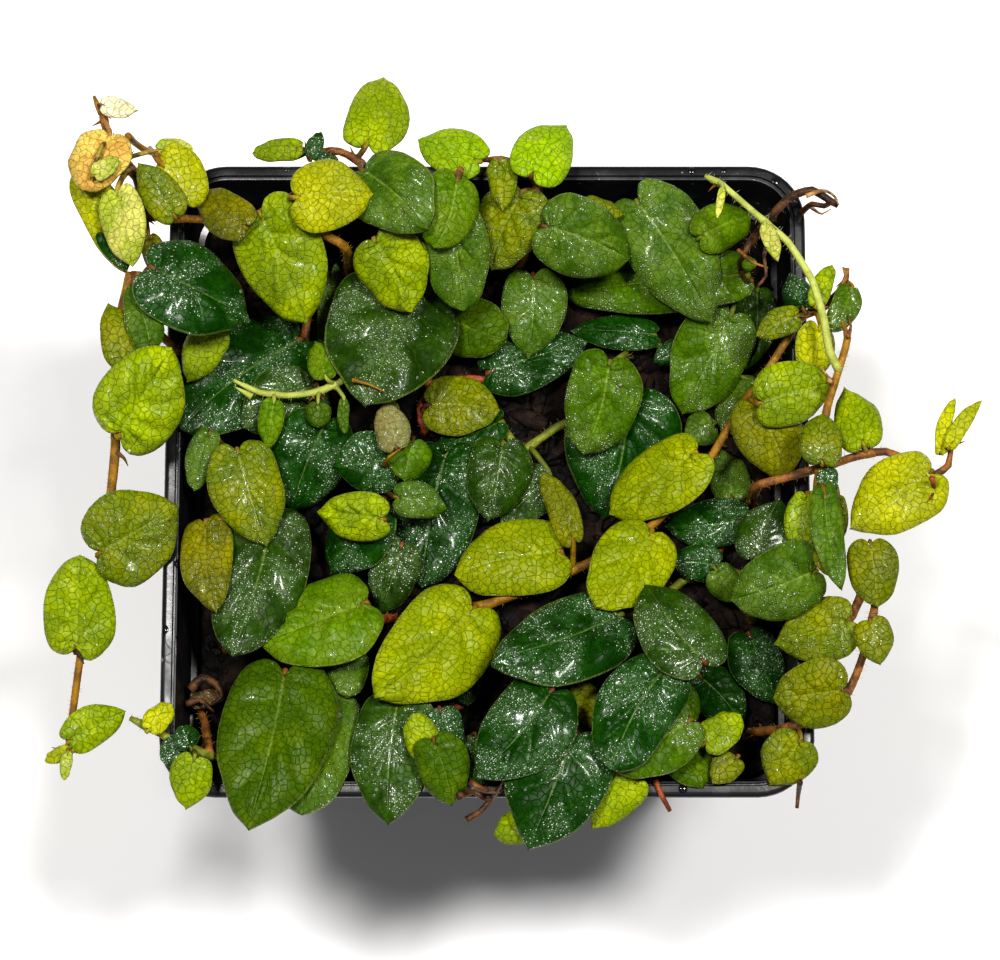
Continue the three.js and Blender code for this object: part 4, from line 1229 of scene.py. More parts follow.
def show(name: str, mesh: bpy.types.Mesh, finishes: Sequence[Finish]) -> bpy.types.Object:
    """Turns a mesh in millimetres into a piece in metres that rides with the pot.

    Args:
        name: The piece's name.
        mesh: Its mesh.
        finishes: Its finishes, in the order of the mesh's material numbers.

    Returns:
        The piece's object.
    """
    mesh.name = name
    mesh.transform(Matrix.Scale(MM, 4))
    for finish in finishes:
        mesh.materials.append(finish.material())
    mesh.shade_smooth()
    piece = bpy.data.objects.new(name, mesh)
    link(piece)
    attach(piece, "root")
    LOG.info("%s: %d faces", name, len(mesh.polygons))
    return piece


def as_mesh(bm: bmesh.types.BMesh) -> bpy.types.Mesh:
    """Writes a bmesh to a new mesh and frees it."""
    mesh = bpy.data.meshes.new("part")
    bm.to_mesh(mesh)
    bm.free()
    return mesh


class Gathered:
    """Gathers many small meshes, with their colours, into one."""

    colours = ("leaf_face", "leaf_patch", "leaf_net")

    def __init__(self) -> None:
        """Starts with an empty bmesh."""
        self.bm = bmesh.new()

    def take(self, mesh: bpy.types.Mesh, paints: Sequence[tuple], material: int = 0) -> None:
        """Adds a mesh, painted all over in plain colours, and removes it from the file.

        Args:
            mesh: The mesh, in millimetres.
            paints: One colour of four numbers for each name in colours.
            material: The number of its material.
        """
        for name, paint in zip(self.colours, paints):
            layer = mesh.attributes.new(name, "FLOAT_COLOR", "POINT")
            layer.data.foreach_set("color", np.tile(np.array(paint, dtype=np.float32), len(mesh.vertices)))
        mesh.polygons.foreach_set("material_index", np.full(len(mesh.polygons), material, dtype=np.int32))
        self.bm.from_mesh(mesh)
        bpy.data.meshes.remove(mesh)


def standing(place: Vector, way: Vector, size: Sequence[float]) -> Matrix:
    """The move that sets an upright shape on a place, turns it to point a way and sizes it."""
    turn = way.to_track_quat("Z", "Y").to_matrix().to_4x4()
    return Matrix.Translation(place) @ turn @ Matrix.Diagonal((*size, 1))


def stamped(shape: bpy.types.Mesh, places: Sequence[Matrix]) -> bpy.types.Mesh:
    """Repeats a small shape at many places in one mesh.

    Args:
        shape: The small shape, which is kept.
        places: A matrix for each copy.

    Returns:
        The mesh with all the copies.
    """
    count, corners, faces = len(shape.vertices), len(shape.loops), len(shape.polygons)
    points = np.empty(count * 3, dtype=np.float64)
    shape.vertices.foreach_get("co", points)
    points = np.c_[points.reshape(-1, 3), np.ones(count)]
    used = np.empty(corners, dtype=np.int32)
    shape.loops.foreach_get("vertex_index", used)
    starts = np.empty(faces, dtype=np.int32)
    shape.polygons.foreach_get("loop_start", starts)
    moves = np.array([np.array(place) for place in places])
    copies = len(moves)
    placed = np.einsum("kij,nj->kni", moves, points)[:, :, :3]
    offsets = np.arange(copies)[:, None]
    mesh = bpy.data.meshes.new("stamped")
    mesh.vertices.add(copies * count)
    mesh.loops.add(copies * corners)
    mesh.polygons.add(copies * faces)
    mesh.vertices.foreach_set("co", placed.ravel())
    mesh.loops.foreach_set("vertex_index", (used[None, :] + offsets * count).ravel().astype(np.int32))
    mesh.polygons.foreach_set("loop_start", (starts[None, :] + offsets * corners).ravel().astype(np.int32))
    mesh.update(calc_edges=True)
    return mesh


def grow_ring(bm: bmesh.types.BMesh, edges: list) -> tuple[list, list]:
    """Extrudes a ring of edges.

    Args:
        bm: The mesh.
        edges: The ring's edges.

    Returns:
        The new ring's points and its edges.
    """
    grown = bmesh.ops.extrude_edge_only(bm, edges=edges)["geom"]
    ring = [item for item in grown if isinstance(item, bmesh.types.BMVert)]
    inner = set(ring)
    lines = [item for item in grown if isinstance(item, bmesh.types.BMEdge)]
    return ring, [line for line in lines if inner.issuperset(line.verts)]


def drawn_tube(line: Sequence[np.ndarray], radii: Sequence[float], sides: int) -> bpy.types.Mesh:
    """Extrudes a circle along a line into a closed tube.

    Args:
        line: The points that the tube's middle goes through, in mm.
        radii: The tube's radius at each point.
        sides: How many flat sides it has.

    Returns:
        The tube's mesh.
    """
    points = [Vector(point) for point in line]
    side = Vector((0.36, 0.93, 0.05))
    frames = []
    for i, point in enumerate(points):
        ahead = (points[min(i + 1, len(points) - 1)] - points[max(i - 1, 0)]).normalized()
        side = (side - ahead * side.dot(ahead)).normalized()
        turn = Matrix((side, ahead.cross(side), ahead)).transposed().to_4x4()
        frames.append(Matrix.Translation(point) @ turn @ Matrix.Scale(radii[i], 4))
    bm = bmesh.new()
    ring = bmesh.ops.create_circle(bm, segments=sides, radius=1.0, matrix=frames[0])["verts"]
    edges = list(dict.fromkeys(edge for vert in ring for edge in vert.link_edges))
    bmesh.ops.edgeloop_fill(bm, edges=edges)
    for before, after in zip(frames, frames[1:]):
        ring, edges = grow_ring(bm, edges)
        bmesh.ops.transform(bm, matrix=after @ before.inverted(), verts=ring)
    bmesh.ops.edgeloop_fill(bm, edges=edges)
    bmesh.ops.recalc_face_normals(bm, faces=bm.faces)
    return as_mesh(bm)


@dataclass(frozen=True)
class LeafTraits:
    """What sets one leaf apart from the next: its lopsidedness, its bow, its tip, its waves and its puffs."""

    skew: float
    bow: float
    tip: float
    wave: float
    phase: float
    puff: float
    curl: float
    droop: float
    twist: float

    @staticmethod
    def drawn(draw: np.random.Generator) -> "LeafTraits":
        """Draws a leaf's traits.

        Args:
            draw: The vine's own seeded draw.

        Returns:
            The traits.
        """
        return LeafTraits(
            skew=draw.uniform(0.02, 0.08) * draw.choice((-1, 1)),
            bow=draw.uniform(-0.055, 0.055),
            tip=draw.uniform(-0.15, 0.45),
            wave=draw.uniform(14, 22),
            phase=draw.uniform(0, 6.28),
            puff=draw.uniform(0.8, 1.3),
            curl=draw.uniform(0.15, 0.55),
            droop=draw.uniform(-0.2, 0.9),
            twist=draw.uniform(-0.35, 0.35),
        )


@dataclass
class BladeShape:
    """The fine form of a leaf's blade, as shares of its length and half width."""

    outline: tuple = (
        (0.03, 0.0), (-0.035, 0.07), (-0.085, 0.22), (-0.095, 0.42), (-0.055, 0.64), (0.03, 0.83),
        (0.15, 0.96), (0.30, 1.0), (0.46, 0.975), (0.62, 0.86), (0.77, 0.63), (0.90, 0.34), (1.0, 0.0),
    )
    lag: float = 3.0
    sweep: float = 0.05
    thickness: float = 0.34
    seat: float = 0.42
    quilt: float = 0.15
    most_quilt: float = 1.2
    groove: float = 0.28
    groove_half: float = 0.6
    puff_floor: float = 0.3
    arch_power: float = 1.6
    edge_wave: float = 0.03
    edge_ripple: float = 0.16
    full_half: float = 5.0
    full_length: float = 14.0
    weld: float = 1e-4
    map_shift: float = 400.0
    small: float = 9.0
    fine_grid: tuple = (48, 24)
    small_grid: tuple = (24, 12)
    _blanks: dict = field(default_factory=dict)

    def grid(self, bed: LeafBed) -> tuple[int, int]:
        """How many faces a leaf has along and across."""
        return self.small_grid if bed.length < self.small else self.fine_grid

    def _blank(self, grid: tuple[int, int]) -> bmesh.types.BMesh:
        """A flat grid with its blade map: u is the share from the notch to the tip, v goes across."""
        if grid not in self._blanks:
            bm = bmesh.new()
            chart = bm.loops.layers.uv.new("blade")
            bm.loops.layers.uv.new("skin")
            bmesh.ops.create_grid(bm, x_segments=grid[0], y_segments=grid[1], size=1.0)
            for face in bm.faces:
                for loop in face.loops:
                    loop[chart].uv = ((loop.vert.co.x + 1) / 2, (loop.vert.co.y + 1) / 2)
            self._blanks[grid] = bm
        return self._blanks[grid]

    def _margin(self, share: np.ndarray) -> tuple[np.ndarray, np.ndarray]:
        """The margin's places, along and across, for shares of the way from the notch to the tip."""
        points = [np.array([*point, 0.0]) for point in self.outline]
        line = np.array(smooth_line_3d(points, 0.02))
        where = np.linspace(0, 1, len(line))
        return np.interp(share, where, line[:, 0]), np.interp(share, where, line[:, 1])

    def _plan(
        self, share: np.ndarray, side: np.ndarray, traits: LeafTraits
    ) -> tuple[np.ndarray, np.ndarray]:
        """Places on the blade, along and across it.

        Args:
            share: Each point's share of the way from the notch to the tip.
            side: Each point's place from the right margin, -1, to the left one, 1.
            traits: The leaf's own traits.

        Returns:
            The shares of the length and of the half width.
        """
        off = np.abs(side)
        margin_x, margin_y = self._margin(share)
        lean = 1 + traits.skew * np.sign(side) * (1 - share)
        rounding = 1 - traits.tip * np.clip((share - 0.45) / 0.3, 0, 1)
        wave = 1 + self.edge_wave * np.sin(share * traits.wave + 1.7 * side + traits.phase)
        margin_x = np.where(margin_x < 0, margin_x * lean ** 4, margin_x)
        margin_y = np.clip(margin_y, 0, None) ** rounding * lean * wave
        rib_x = BLADE_NOTCH + (1 - BLADE_NOTCH) * share ** self.lag
        along = (1 - off) * rib_x + off * margin_x + self.sweep * off * (1 - off)
        return along, np.sign(side) * off * margin_y

    def form(self, bed: LeafBed, draw: np.random.Generator) -> tuple[bpy.types.Mesh, np.ndarray]:
        """Forms one blade on its bed.

        Args:
            bed: Where the leaf lies.
            draw: The vine's own seeded draw.

        Returns:
            The blade's mesh in mm, and the places of its upper face's grid.
        """
        traits = LeafTraits.drawn(draw)
        bm = self._blank(self.grid(bed)).copy()
        flat = np.array([vert.co for vert in bm.verts])
        share, side = (flat[:, 0] + 1) / 2, flat[:, 1]
        along, across = self._plan(share, side, traits)
        q = across * bed.half + traits.bow * bed.length * np.sin(np.pi * np.clip(along, 0, 1))
        top = bed.points(along * bed.length, q, self._relief(bed, share, side, along, traits))
        for vert, place in zip(bm.verts, top):
            vert.co = place
        bmesh.ops.remove_doubles(bm, verts=bm.verts, dist=self.weld)
        bmesh.ops.recalc_face_normals(bm, faces=bm.faces)
        if sum(face.normal.z for face in bm.faces) < 0:
            bmesh.ops.reverse_faces(bm, faces=bm.faces)
        grown = bmesh.ops.extrude_face_region(bm, geom=bm.faces[:], use_keep_orig=True)["geom"]
        under = [item for item in grown if isinstance(item, bmesh.types.BMVert)]
        bmesh.ops.translate(bm, vec=bed.upward * -self.thickness, verts=under)
        bmesh.ops.recalc_face_normals(bm, faces=bm.faces)
        mesh = as_mesh(bm)
        self._chart(mesh, bed, traits, draw.uniform(-self.map_shift, self.map_shift, 2))
        return mesh, top

    def _chart(self, mesh: bpy.types.Mesh, bed: LeafBed, traits: LeafTraits, shift: np.ndarray) -> None:
        """Gives the blade its skin map, which is in millimetres along and across it.

        Args:
            mesh: The blade's mesh.
            bed: Where the leaf lies.
            traits: The leaf's own traits.
            shift: How far the map is moved, so that no two leaves have the same skin.
        """
        blade, skin = mesh.uv_layers["blade"].data, mesh.uv_layers["skin"].data
        chart = np.empty(2 * len(blade), dtype=np.float32)
        blade.foreach_get("uv", chart)
        chart = chart.reshape(-1, 2)
        along, across = self._plan(chart[:, 0], 2 * chart[:, 1] - 1, traits)
        places = np.stack([along * bed.length, across * bed.half], axis=1) + shift
        skin.foreach_set("uv", places.astype(np.float32).ravel())

    def _relief(
        self, bed: LeafBed, share: np.ndarray, side: np.ndarray, along: np.ndarray, traits: LeafTraits
    ) -> np.ndarray:
        """The height of the blade's upper face over its bed.

        Args:
            bed: Where the leaf lies.
            share: Each point's share of the way from the notch to the tip.
            side: Each point's place from the right margin, -1, to the left one, 1.
            along: Each point's share of the blade's length.
            traits: The leaf's own traits.

        Returns:
            The heights in mm.
        """
        off = np.abs(side)
        hand = np.sign(side)
        phase = traits.phase
        length_arch = np.sin(np.pi * np.clip(along * 0.85 + 0.15, 0, 1)) ** 0.5
        arch = CROWN * 2 * bed.half * (1 - off ** self.arch_power) * length_arch
        ribs = LEAF_SKIN.net.ribs
        swell = min(self.most_quilt, self.quilt * bed.half) * traits.puff
        bend = share + 0.02 * np.sin(5 * off + phase + hand)
        pillow = np.abs(np.sin(np.pi * ribs * bend)) ** 0.7
        pillow = pillow * np.sin(np.pi * np.clip(off, 0, 1) ** 0.85) ** 0.6
        split = 0.62 + 0.38 * np.abs(np.sin(np.pi * (1.9 * off + 1.3 * share + 0.3 * phase + 0.17 * hand)))
        uneven = 0.7 + 0.3 * np.sin(share * 9 + side * 4 + phase)
        ends = np.clip((share - 0.1) / 0.15, 0, 1) * np.clip((1 - share) / 0.12, 0, 1)
        quilt = swell * (pillow * split * uneven - self.puff_floor) * ends
        groove = -self.groove * np.exp(-((off * bed.half / self.groove_half) ** 2))
        groove = groove * np.clip(1.2 - share, 0, 1)
        breadth = min(1.0, bed.half / self.full_half)
        reach = min(1.0, bed.length / self.full_length)
        curl = -traits.curl * np.clip((off - 0.7) / 0.3, 0, 1) ** 2 * breadth
        droop = -traits.droop * np.clip((along - 0.7) / 0.3, 0, 1) ** 2 * reach
        beat = np.sin(share * traits.wave * 1.3 + 2 * phase + hand)
        ripple = self.edge_ripple * np.clip((off - 0.6) / 0.4, 0, 1) * beat
        twist = traits.twist * side * np.sin(np.pi * share) * breadth
        return self.seat + arch + quilt + groove + curl + droop + ripple + twist


@dataclass
class VineMaker:
    """Makes each vine's fine stems, stalks, blades, hairs and stipules, and gathers the drops on it."""

    blade: BladeShape = field(default_factory=BladeShape)
    stem_sides: int = 10
    stem_pitch: float = 1.1
    slim: float = 0.92
    pale_slim: float = 0.74
    node_swell: float = 0.28
    node_reach: float = 0.9
    unevenness: float = 0.035
    collar_rise: float = 1.2
    foot_gap: float = 2.5
    lowest_hair: float = 1.5
    stalk_radius: float = 0.42
    stalk_pitch: float = 0.7
    stalk_sides: int = 8
    smallest_drop: float = 0.10
    drop_spread: float = 0.24
    stipule_from: float = 3.0
    stipule_radius: float = 0.34
    hair_tip: float = 0.004
    hair_length: float = 0.7
    hair_radius: float = 0.035
    hairs_per_mm: float = 3.2
    drop_density: float = 0.2
    drops: list = field(default_factory=list)
    gathered: Optional[Gathered] = None
    draw: Optional[np.random.Generator] = None
    seed: int = 6942

    def make(self, vine: LaidVine) -> None:
        """Makes one vine's piece, which stands for its CAD node.

        Args:
            vine: The vine as it lies.
        """
        self.draw = np.random.default_rng(self.seed + sum(map(ord, vine.plan.name)))
        self.gathered = Gathered()
        nodes = [leaf.stalk[-1] for leaf in vine.leaves]
        for index, (bark, line) in enumerate(vine.stems):
            self._stem(bark, line, nodes, index == 0)
        for leaf in vine.leaves:
            bark = self._bark_near(vine, leaf.stalk[-1])
            self._stalk(leaf, bark)
            self._leaf(leaf)
            self._stipules(leaf)
        piece = show(vine.plan.name + "_leaves", as_mesh(self.gathered.bm), (LEAF_SKIN, STEM_BARK))
        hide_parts(vine.plan.name)

    @staticmethod
    def _bark_near(vine: LaidVine, place: np.ndarray) -> Bark:
        """The bark of the stem that passes closest to a place."""
        gaps = [min(np.linalg.norm(point - place) for point in line) for _, line in vine.stems]
        return vine.stems[int(np.argmin(gaps))][0]

    def _stem(self, bark: Bark, line: list, nodes: list, rooted: bool) -> None:
        """Draws one stem, swollen at its leaf nodes, with its hairs.

        Args:
            bark: The stem's skin.
            line: The stem's laid line.
            nodes: The places where stalks leave the vine's stems.
            rooted: Whether it goes down into the soil at its start.
        """
        if rooted:
            x, y = line[0][:2]
            foot = np.array([x, y, SOIL_LEVEL - ROOT_DEPTH])
            collar = np.array([x, y, SOIL_LEVEL + self.collar_rise])
            line = [foot, collar, *line] if line[0][2] > SOIL_LEVEL + self.foot_gap else [foot, *line]
        fine = smooth_line_3d(line, self.stem_pitch)
        radii = []
        slim = self.pale_slim if bark is Bark.PALE else self.slim
        for i, point in enumerate(fine):
            share = i / max(len(fine) - 1, 1)
            radius = (STEM_RADIUS + (STEM_TIP_RADIUS - STEM_RADIUS) * share) * slim
            gap = min((float(np.linalg.norm(point - node)) for node in nodes), default=9.0)
            swell = self.node_swell * math.exp(-((gap / self.node_reach) ** 2))
            radius *= 1 + swell + self.draw.uniform(-self.unevenness, self.unevenness)
            radii.append(radius if share < 0.97 else radius * 0.7)
        self.gathered.take(drawn_tube(fine, radii, self.stem_sides), bark.paint, 1)
        self._hairs(bark, fine, radii)

    def _hairs(self, bark: Bark, line: list, radii: list) -> None:
        """Sets short hairs on a stem.

        Args:
            bark: The stem's skin.
            line: The stem's fine line.
            radii: Its radius at each point.
        """
        bm = bmesh.new()
        bmesh.ops.create_cone(
            bm, cap_ends=True, segments=3, radius1=self.hair_radius, radius2=self.hair_tip, depth=1.0,
            matrix=Matrix.Translation((0, 0, 0.5)),
        )
        hair = as_mesh(bm)
        places = []
        for i in range(len(line) - 1):
            if line[i][2] < SOIL_LEVEL + self.lowest_hair:
                continue
            a, b = Vector(line[i]), Vector(line[i + 1])
            ahead = (b - a).normalized()
            for _ in range(int(self.hairs_per_mm * (b - a).length + self.draw.uniform(0, 1))):
                out = Vector(self.draw.normal(size=3))
                out = (out - ahead * out.dot(ahead)).normalized()
                lean = (out + ahead * self.draw.uniform(-0.5, 0.5)).normalized()
                foot = a.lerp(b, self.draw.uniform(0, 1)) + out * radii[i] * 0.9
                length = self.hair_length * self.draw.uniform(0.5, 1.2)
                places.append(standing(foot, lean, (1, 1, length)))
        if places:
            pale = rgba("b89858") if bark is not Bark.PALE else rgba("d8e0a8")
            self.gathered.take(stamped(hair, places), (pale, pale, pale), 1)
        bpy.data.meshes.remove(hair)

    def _stalk(self, leaf: LaidLeaf, bark: Bark) -> None:
        """Draws a leaf's stalk from the stem to the blade's notch.

        Args:
            leaf: The leaf as it lies.
            bark: The stem's skin.
        """
        line = list(leaf.stalk)
        line[0] = leaf.bed.point(0.10, 0, self.blade.seat - 0.30)
        fine = smooth_line_3d(line, self.stalk_pitch)
        small = 0.8 if leaf.bed.length < self.blade.small else 1.0
        radii = [self.stalk_radius * small * (0.55 + 0.45 * min(1, i / 3)) for i in range(len(fine))]
        skin = tuple(0.5 * (a + b) for a, b in zip(rgba(bark.value[0]), rgba(leaf.tone.value.face)))
        self.gathered.take(drawn_tube(fine, radii, self.stalk_sides), (skin, rgba(bark.value[1]), skin), 1)

    def _leaf(self, leaf: LaidLeaf) -> None:
        """Forms a leaf's blade, paints it and sets drops on it.

        Args:
            leaf: The leaf as it lies.
        """
        mesh, top = self.blade.form(leaf.bed, self.draw)
        colour = leaf.tone.value
        shade = self.draw.uniform(0.88, 1.12)
        face = (*(c * shade for c in linear(colour.face)), colour.wet)
        patch = (*(c * shade for c in linear(colour.patch)), colour.dull)
        self.gathered.take(mesh, (face, patch, rgba(colour.net)), 0)
        columns, rows = (count + 1 for count in self.blade.grid(leaf.bed))
        sheet = top.reshape(rows, columns, 3)
        area = leaf.bed.length * leaf.bed.half * 1.3
        for _ in range(int(area * self.drop_density * colour.wet)):
            row, column = self.draw.integers(1, rows - 2), self.draw.integers(2, columns - 3)
            a, b, c = sheet[row, column], sheet[row, column + 1], sheet[row + 1, column]
            u, v = self.draw.uniform(0, 1, 2)
            normal = np.cross(b - a, c - a)
            length = float(np.linalg.norm(normal))
            if length < 1e-6:
                continue
            normal = normal / length * (1 if normal[2] > 0 else -1)
            radius = self.smallest_drop + self.drop_spread * self.draw.uniform(0, 1) ** 3
            self.drops.append((a + u * (b - a) + v * (c - a), normal, radius, leaf.tone))

    def _stipules(self, leaf: LaidLeaf) -> None:
        """Sets a pair of dry lance-shaped stipules where a stalk leaves the stem.

        Args:
            leaf: The leaf as it lies.
        """
        if min(leaf.bed.length, leaf.stalk[-1][2] - SOIL_LEVEL) < self.stipule_from:
            return
        bm = bmesh.new()
        bmesh.ops.create_cone(
            bm, cap_ends=True, segments=5, radius1=self.stipule_radius, radius2=0.03, depth=1.0,
            matrix=Matrix.Translation((0, 0, 0.5)) @ Matrix.Diagonal((1, 0.4, 1, 1)),
        )
        scale = as_mesh(bm)
        foot = Vector(leaf.stalk[-1]) + Vector((0, 0, 0.2))
        ahead = Vector((*leaf.bed.along, 0.25))
        places = []
        for hand in (-1, 1):
            out = (ahead + hand * self.draw.uniform(0.5, 0.9) * Vector((-ahead.y, ahead.x, 0.1))).normalized()
            places.append(standing(foot, out, (1, 1, self.draw.uniform(1.5, 2.3))))
        brown = rgba("7a4a20")
        self.gathered.take(stamped(scale, places), (brown, rgba("4a2a12"), brown), 1)
        bpy.data.meshes.remove(scale)


def smooth_line_3d(points: Sequence[np.ndarray], pitch: float) -> list[np.ndarray]:
    """Points along a smooth line in space through the given ones.

    Args:
        points: The points that the line goes through.
        pitch: The distance between the new points, in mm.

    Returns:
        The points, with the two ends.
    """
    points = [np.asarray(point, dtype=float) for point in points]
    line = [points[0]]
    for i in range(len(points) - 1):
        b, c = points[i], points[i + 1]
        reach = float(np.linalg.norm(c - b))
        if reach < 1e-6:
            continue
        before, after = points[max(i - 1, 0)], points[min(i + 2, len(points) - 1)]
        lean_in, lean_out = (unit(c - before) + unit(c - b)) / 2, (unit(after - b) + unit(c - b)) / 2
        count = max(1, round(reach / pitch))
        for t in (np.arange(count) + 1) / count:
            h = t * t * (3 - 2 * t)
            start_pull, end_pull = t * (1 - t) ** 2, t * t * (t - 1)
            line.append(b + h * (c - b) + reach * (start_pull * lean_in + end_pull * lean_out))
    return line


def unit(step: np.ndarray) -> np.ndarray:
    """A step scaled to a length of one."""
    return step / max(float(np.linalg.norm(step)), 1e-9)


def drop_of_water() -> bpy.types.Mesh:
    """One flattened bead of water with a radius of 1 mm."""
    bm = bmesh.new()
    bmesh.ops.create_icosphere(bm, subdivisions=2, radius=1.0)
    bmesh.ops.scale(bm, vec=(1.0, 1.0, 0.5), verts=bm.verts)
    return as_mesh(bm)


@dataclass
class WaterDrops:
    """The drops that lie free on the upper faces of the leaves."""

    most: int = 2600
    cover: float = 1.2
    lift: float = 0.3

    def make(self, drops: list, ground: HeightField) -> None:
        """Sets the drops that no leaf covers.

        Args:
            drops: Place, normal, radius and leaf tone of each drop.
            ground: The field with all that lies on the pot.
        """
        shape = drop_of_water()
        places = {}
        for place, normal, radius, tone in drops[:: max(1, round(len(drops) / self.most))]:
            if ground.top_at(place[0], place[1]) > place[2] + self.cover:
                continue
            middle = Vector(place + normal * radius * self.lift)
            places.setdefault(tone, []).append(standing(middle, Vector(normal), [radius] * 3))
        gathered = Gathered()
        for tone, spots in places.items():
            # Each drop is painted in the face colour of its leaf, as painted light seen through the water.
            seen = rgba(tone.value.face)
            gathered.take(stamped(shape, spots), (seen, seen, seen), 0)
        show("water_drops", as_mesh(gathered.bm), (WATER_BEAD,))
        bpy.data.meshes.remove(shape)


@dataclass(frozen=True)
class Scrap:
    """A small dead or dry bit on the sheet: its bark, its radii at both ends, its height and its line."""

    bark: Bark
    foot: float
    tip: float
    height: float
    line: tuple


SCRAPS = (
    (Bark.DRY, 0.5, 0.3, 81.5, ((800, 214), (812, 204), (824, 206), (836, 200))),
    (Bark.STRAW, 0.34, 0.1, 82.0, ((806, 196), (820, 191), (832, 194), (838, 204))),
    (Bark.STRAW, 0.3, 0.08, 82.4, ((812, 208), (822, 214), (831, 209))),
    (Bark.DRY, 0.42, 0.3, 76.0, ((752, 238), (744, 254), (741, 272), (752, 281))),
    (Bark.DRY, 0.38, 0.22, 76.5, ((770, 236), (764, 256), (766, 276), (758, 286))),
    (Bark.BROWN, 0.3, 0.14, 77.0, ((738, 250), (752, 262), (768, 268))),
    (Bark.DRY, 0.55, 0.2, 80.5, ((459, 796), (474, 792), (488, 800), (505, 788))),
    (Bark.DRY, 0.5, 0.15, 79.8, ((466, 820), (480, 812), (492, 798), (503, 782))),
    (Bark.BROWN, 0.45, 0.2, 79.5, ((470, 782), (484, 790), (500, 792))),
    (Bark.RED, 0.45, 0.3, 79.5, ((655, 780), (662, 796), (670, 811))),
    (Bark.DRY, 0.42, 0.26, 78.5, ((800, 782), (798, 796), (797, 808))),
    (Bark.DRY, 0.75, 0.3, 74.0, ((190, 690), (202, 678), (216, 684), (222, 697), (212, 704))),
    (Bark.DRY, 0.55, 0.2, 73.5, ((186, 704), (200, 700), (214, 712))),
    (Bark.GOLDEN, 0.2, 0.62, 84.0, ((94, 96), (97, 104), (102, 113))),
    (Bark.GOLDEN, 0.55, 0.4, 83.0, ((128, 136), (142, 148), (158, 155))),
    (Bark.BROWN, 0.4, 0.16, 83.0, ((842, 286), (846, 276), (843, 267))),
    (Bark.BROWN, 0.38, 0.12, 82.0, ((848, 336), (851, 326), (848, 316))),
    (Bark.GOLDEN, 0.36, 0.12, 78.0, ((384, 466), (390, 456), (402, 448))),
    (Bark.GOLDEN, 0.34, 0.08, 79.0, ((352, 380), (368, 384), (385, 392))),
    (Bark.PALE, 0.55, 0.1, 80.0, ((252, 397), (244, 392), (235, 387))),
    (Bark.STRAW, 0.42, 0.06, 88.0, ((830, 382), (826, 374), (820, 366))),
    (Bark.RED, 0.42, 0.1, 70.0, ((932, 478), (934, 490), (930, 500))),
    (Bark.DRY, 0.36, 0.06, 60.0, ((74, 650), (80, 656), (84, 664))),
    (Bark.DRY, 0.36, 0.06, 66.0, ((116, 452), (124, 458), (128, 466))),
    (Bark.GOLDEN, 0.5, 0.34, 81.0, ((166, 168), (158, 160), (150, 148))),
)


@dataclass
class DryScraps:
    """The stubs, buds, dry sheaths and torn ends that lie loose on the vines."""

    pitch: float = 0.8
    sides: int = 8
    lift: float = 0.35

    def make(self, ground: HeightField) -> None:
        """Lays the scraps on what is under them.

        Args:
            ground: The field with all that lies on the pot.
        """
        gathered = Gathered()
        for scrap in (Scrap(*row) for row in SCRAPS):
            line = []
            for x, y in scrap.line:
                spot = SHEET.place(x, y, scrap.height)
                z = max(scrap.height, ground.top_at(*spot) + self.lift)
                line.append(np.array([*SHEET.place(x, y, z), z]))
            fine = smooth_line_3d(line, self.pitch)
            radii = list(np.linspace(scrap.foot, scrap.tip, len(fine)))
            gathered.take(drawn_tube(fine, radii, self.sides), scrap.bark.paint, 0)
        show("dry_scraps", as_mesh(gathered.bm), (STEM_BARK,))


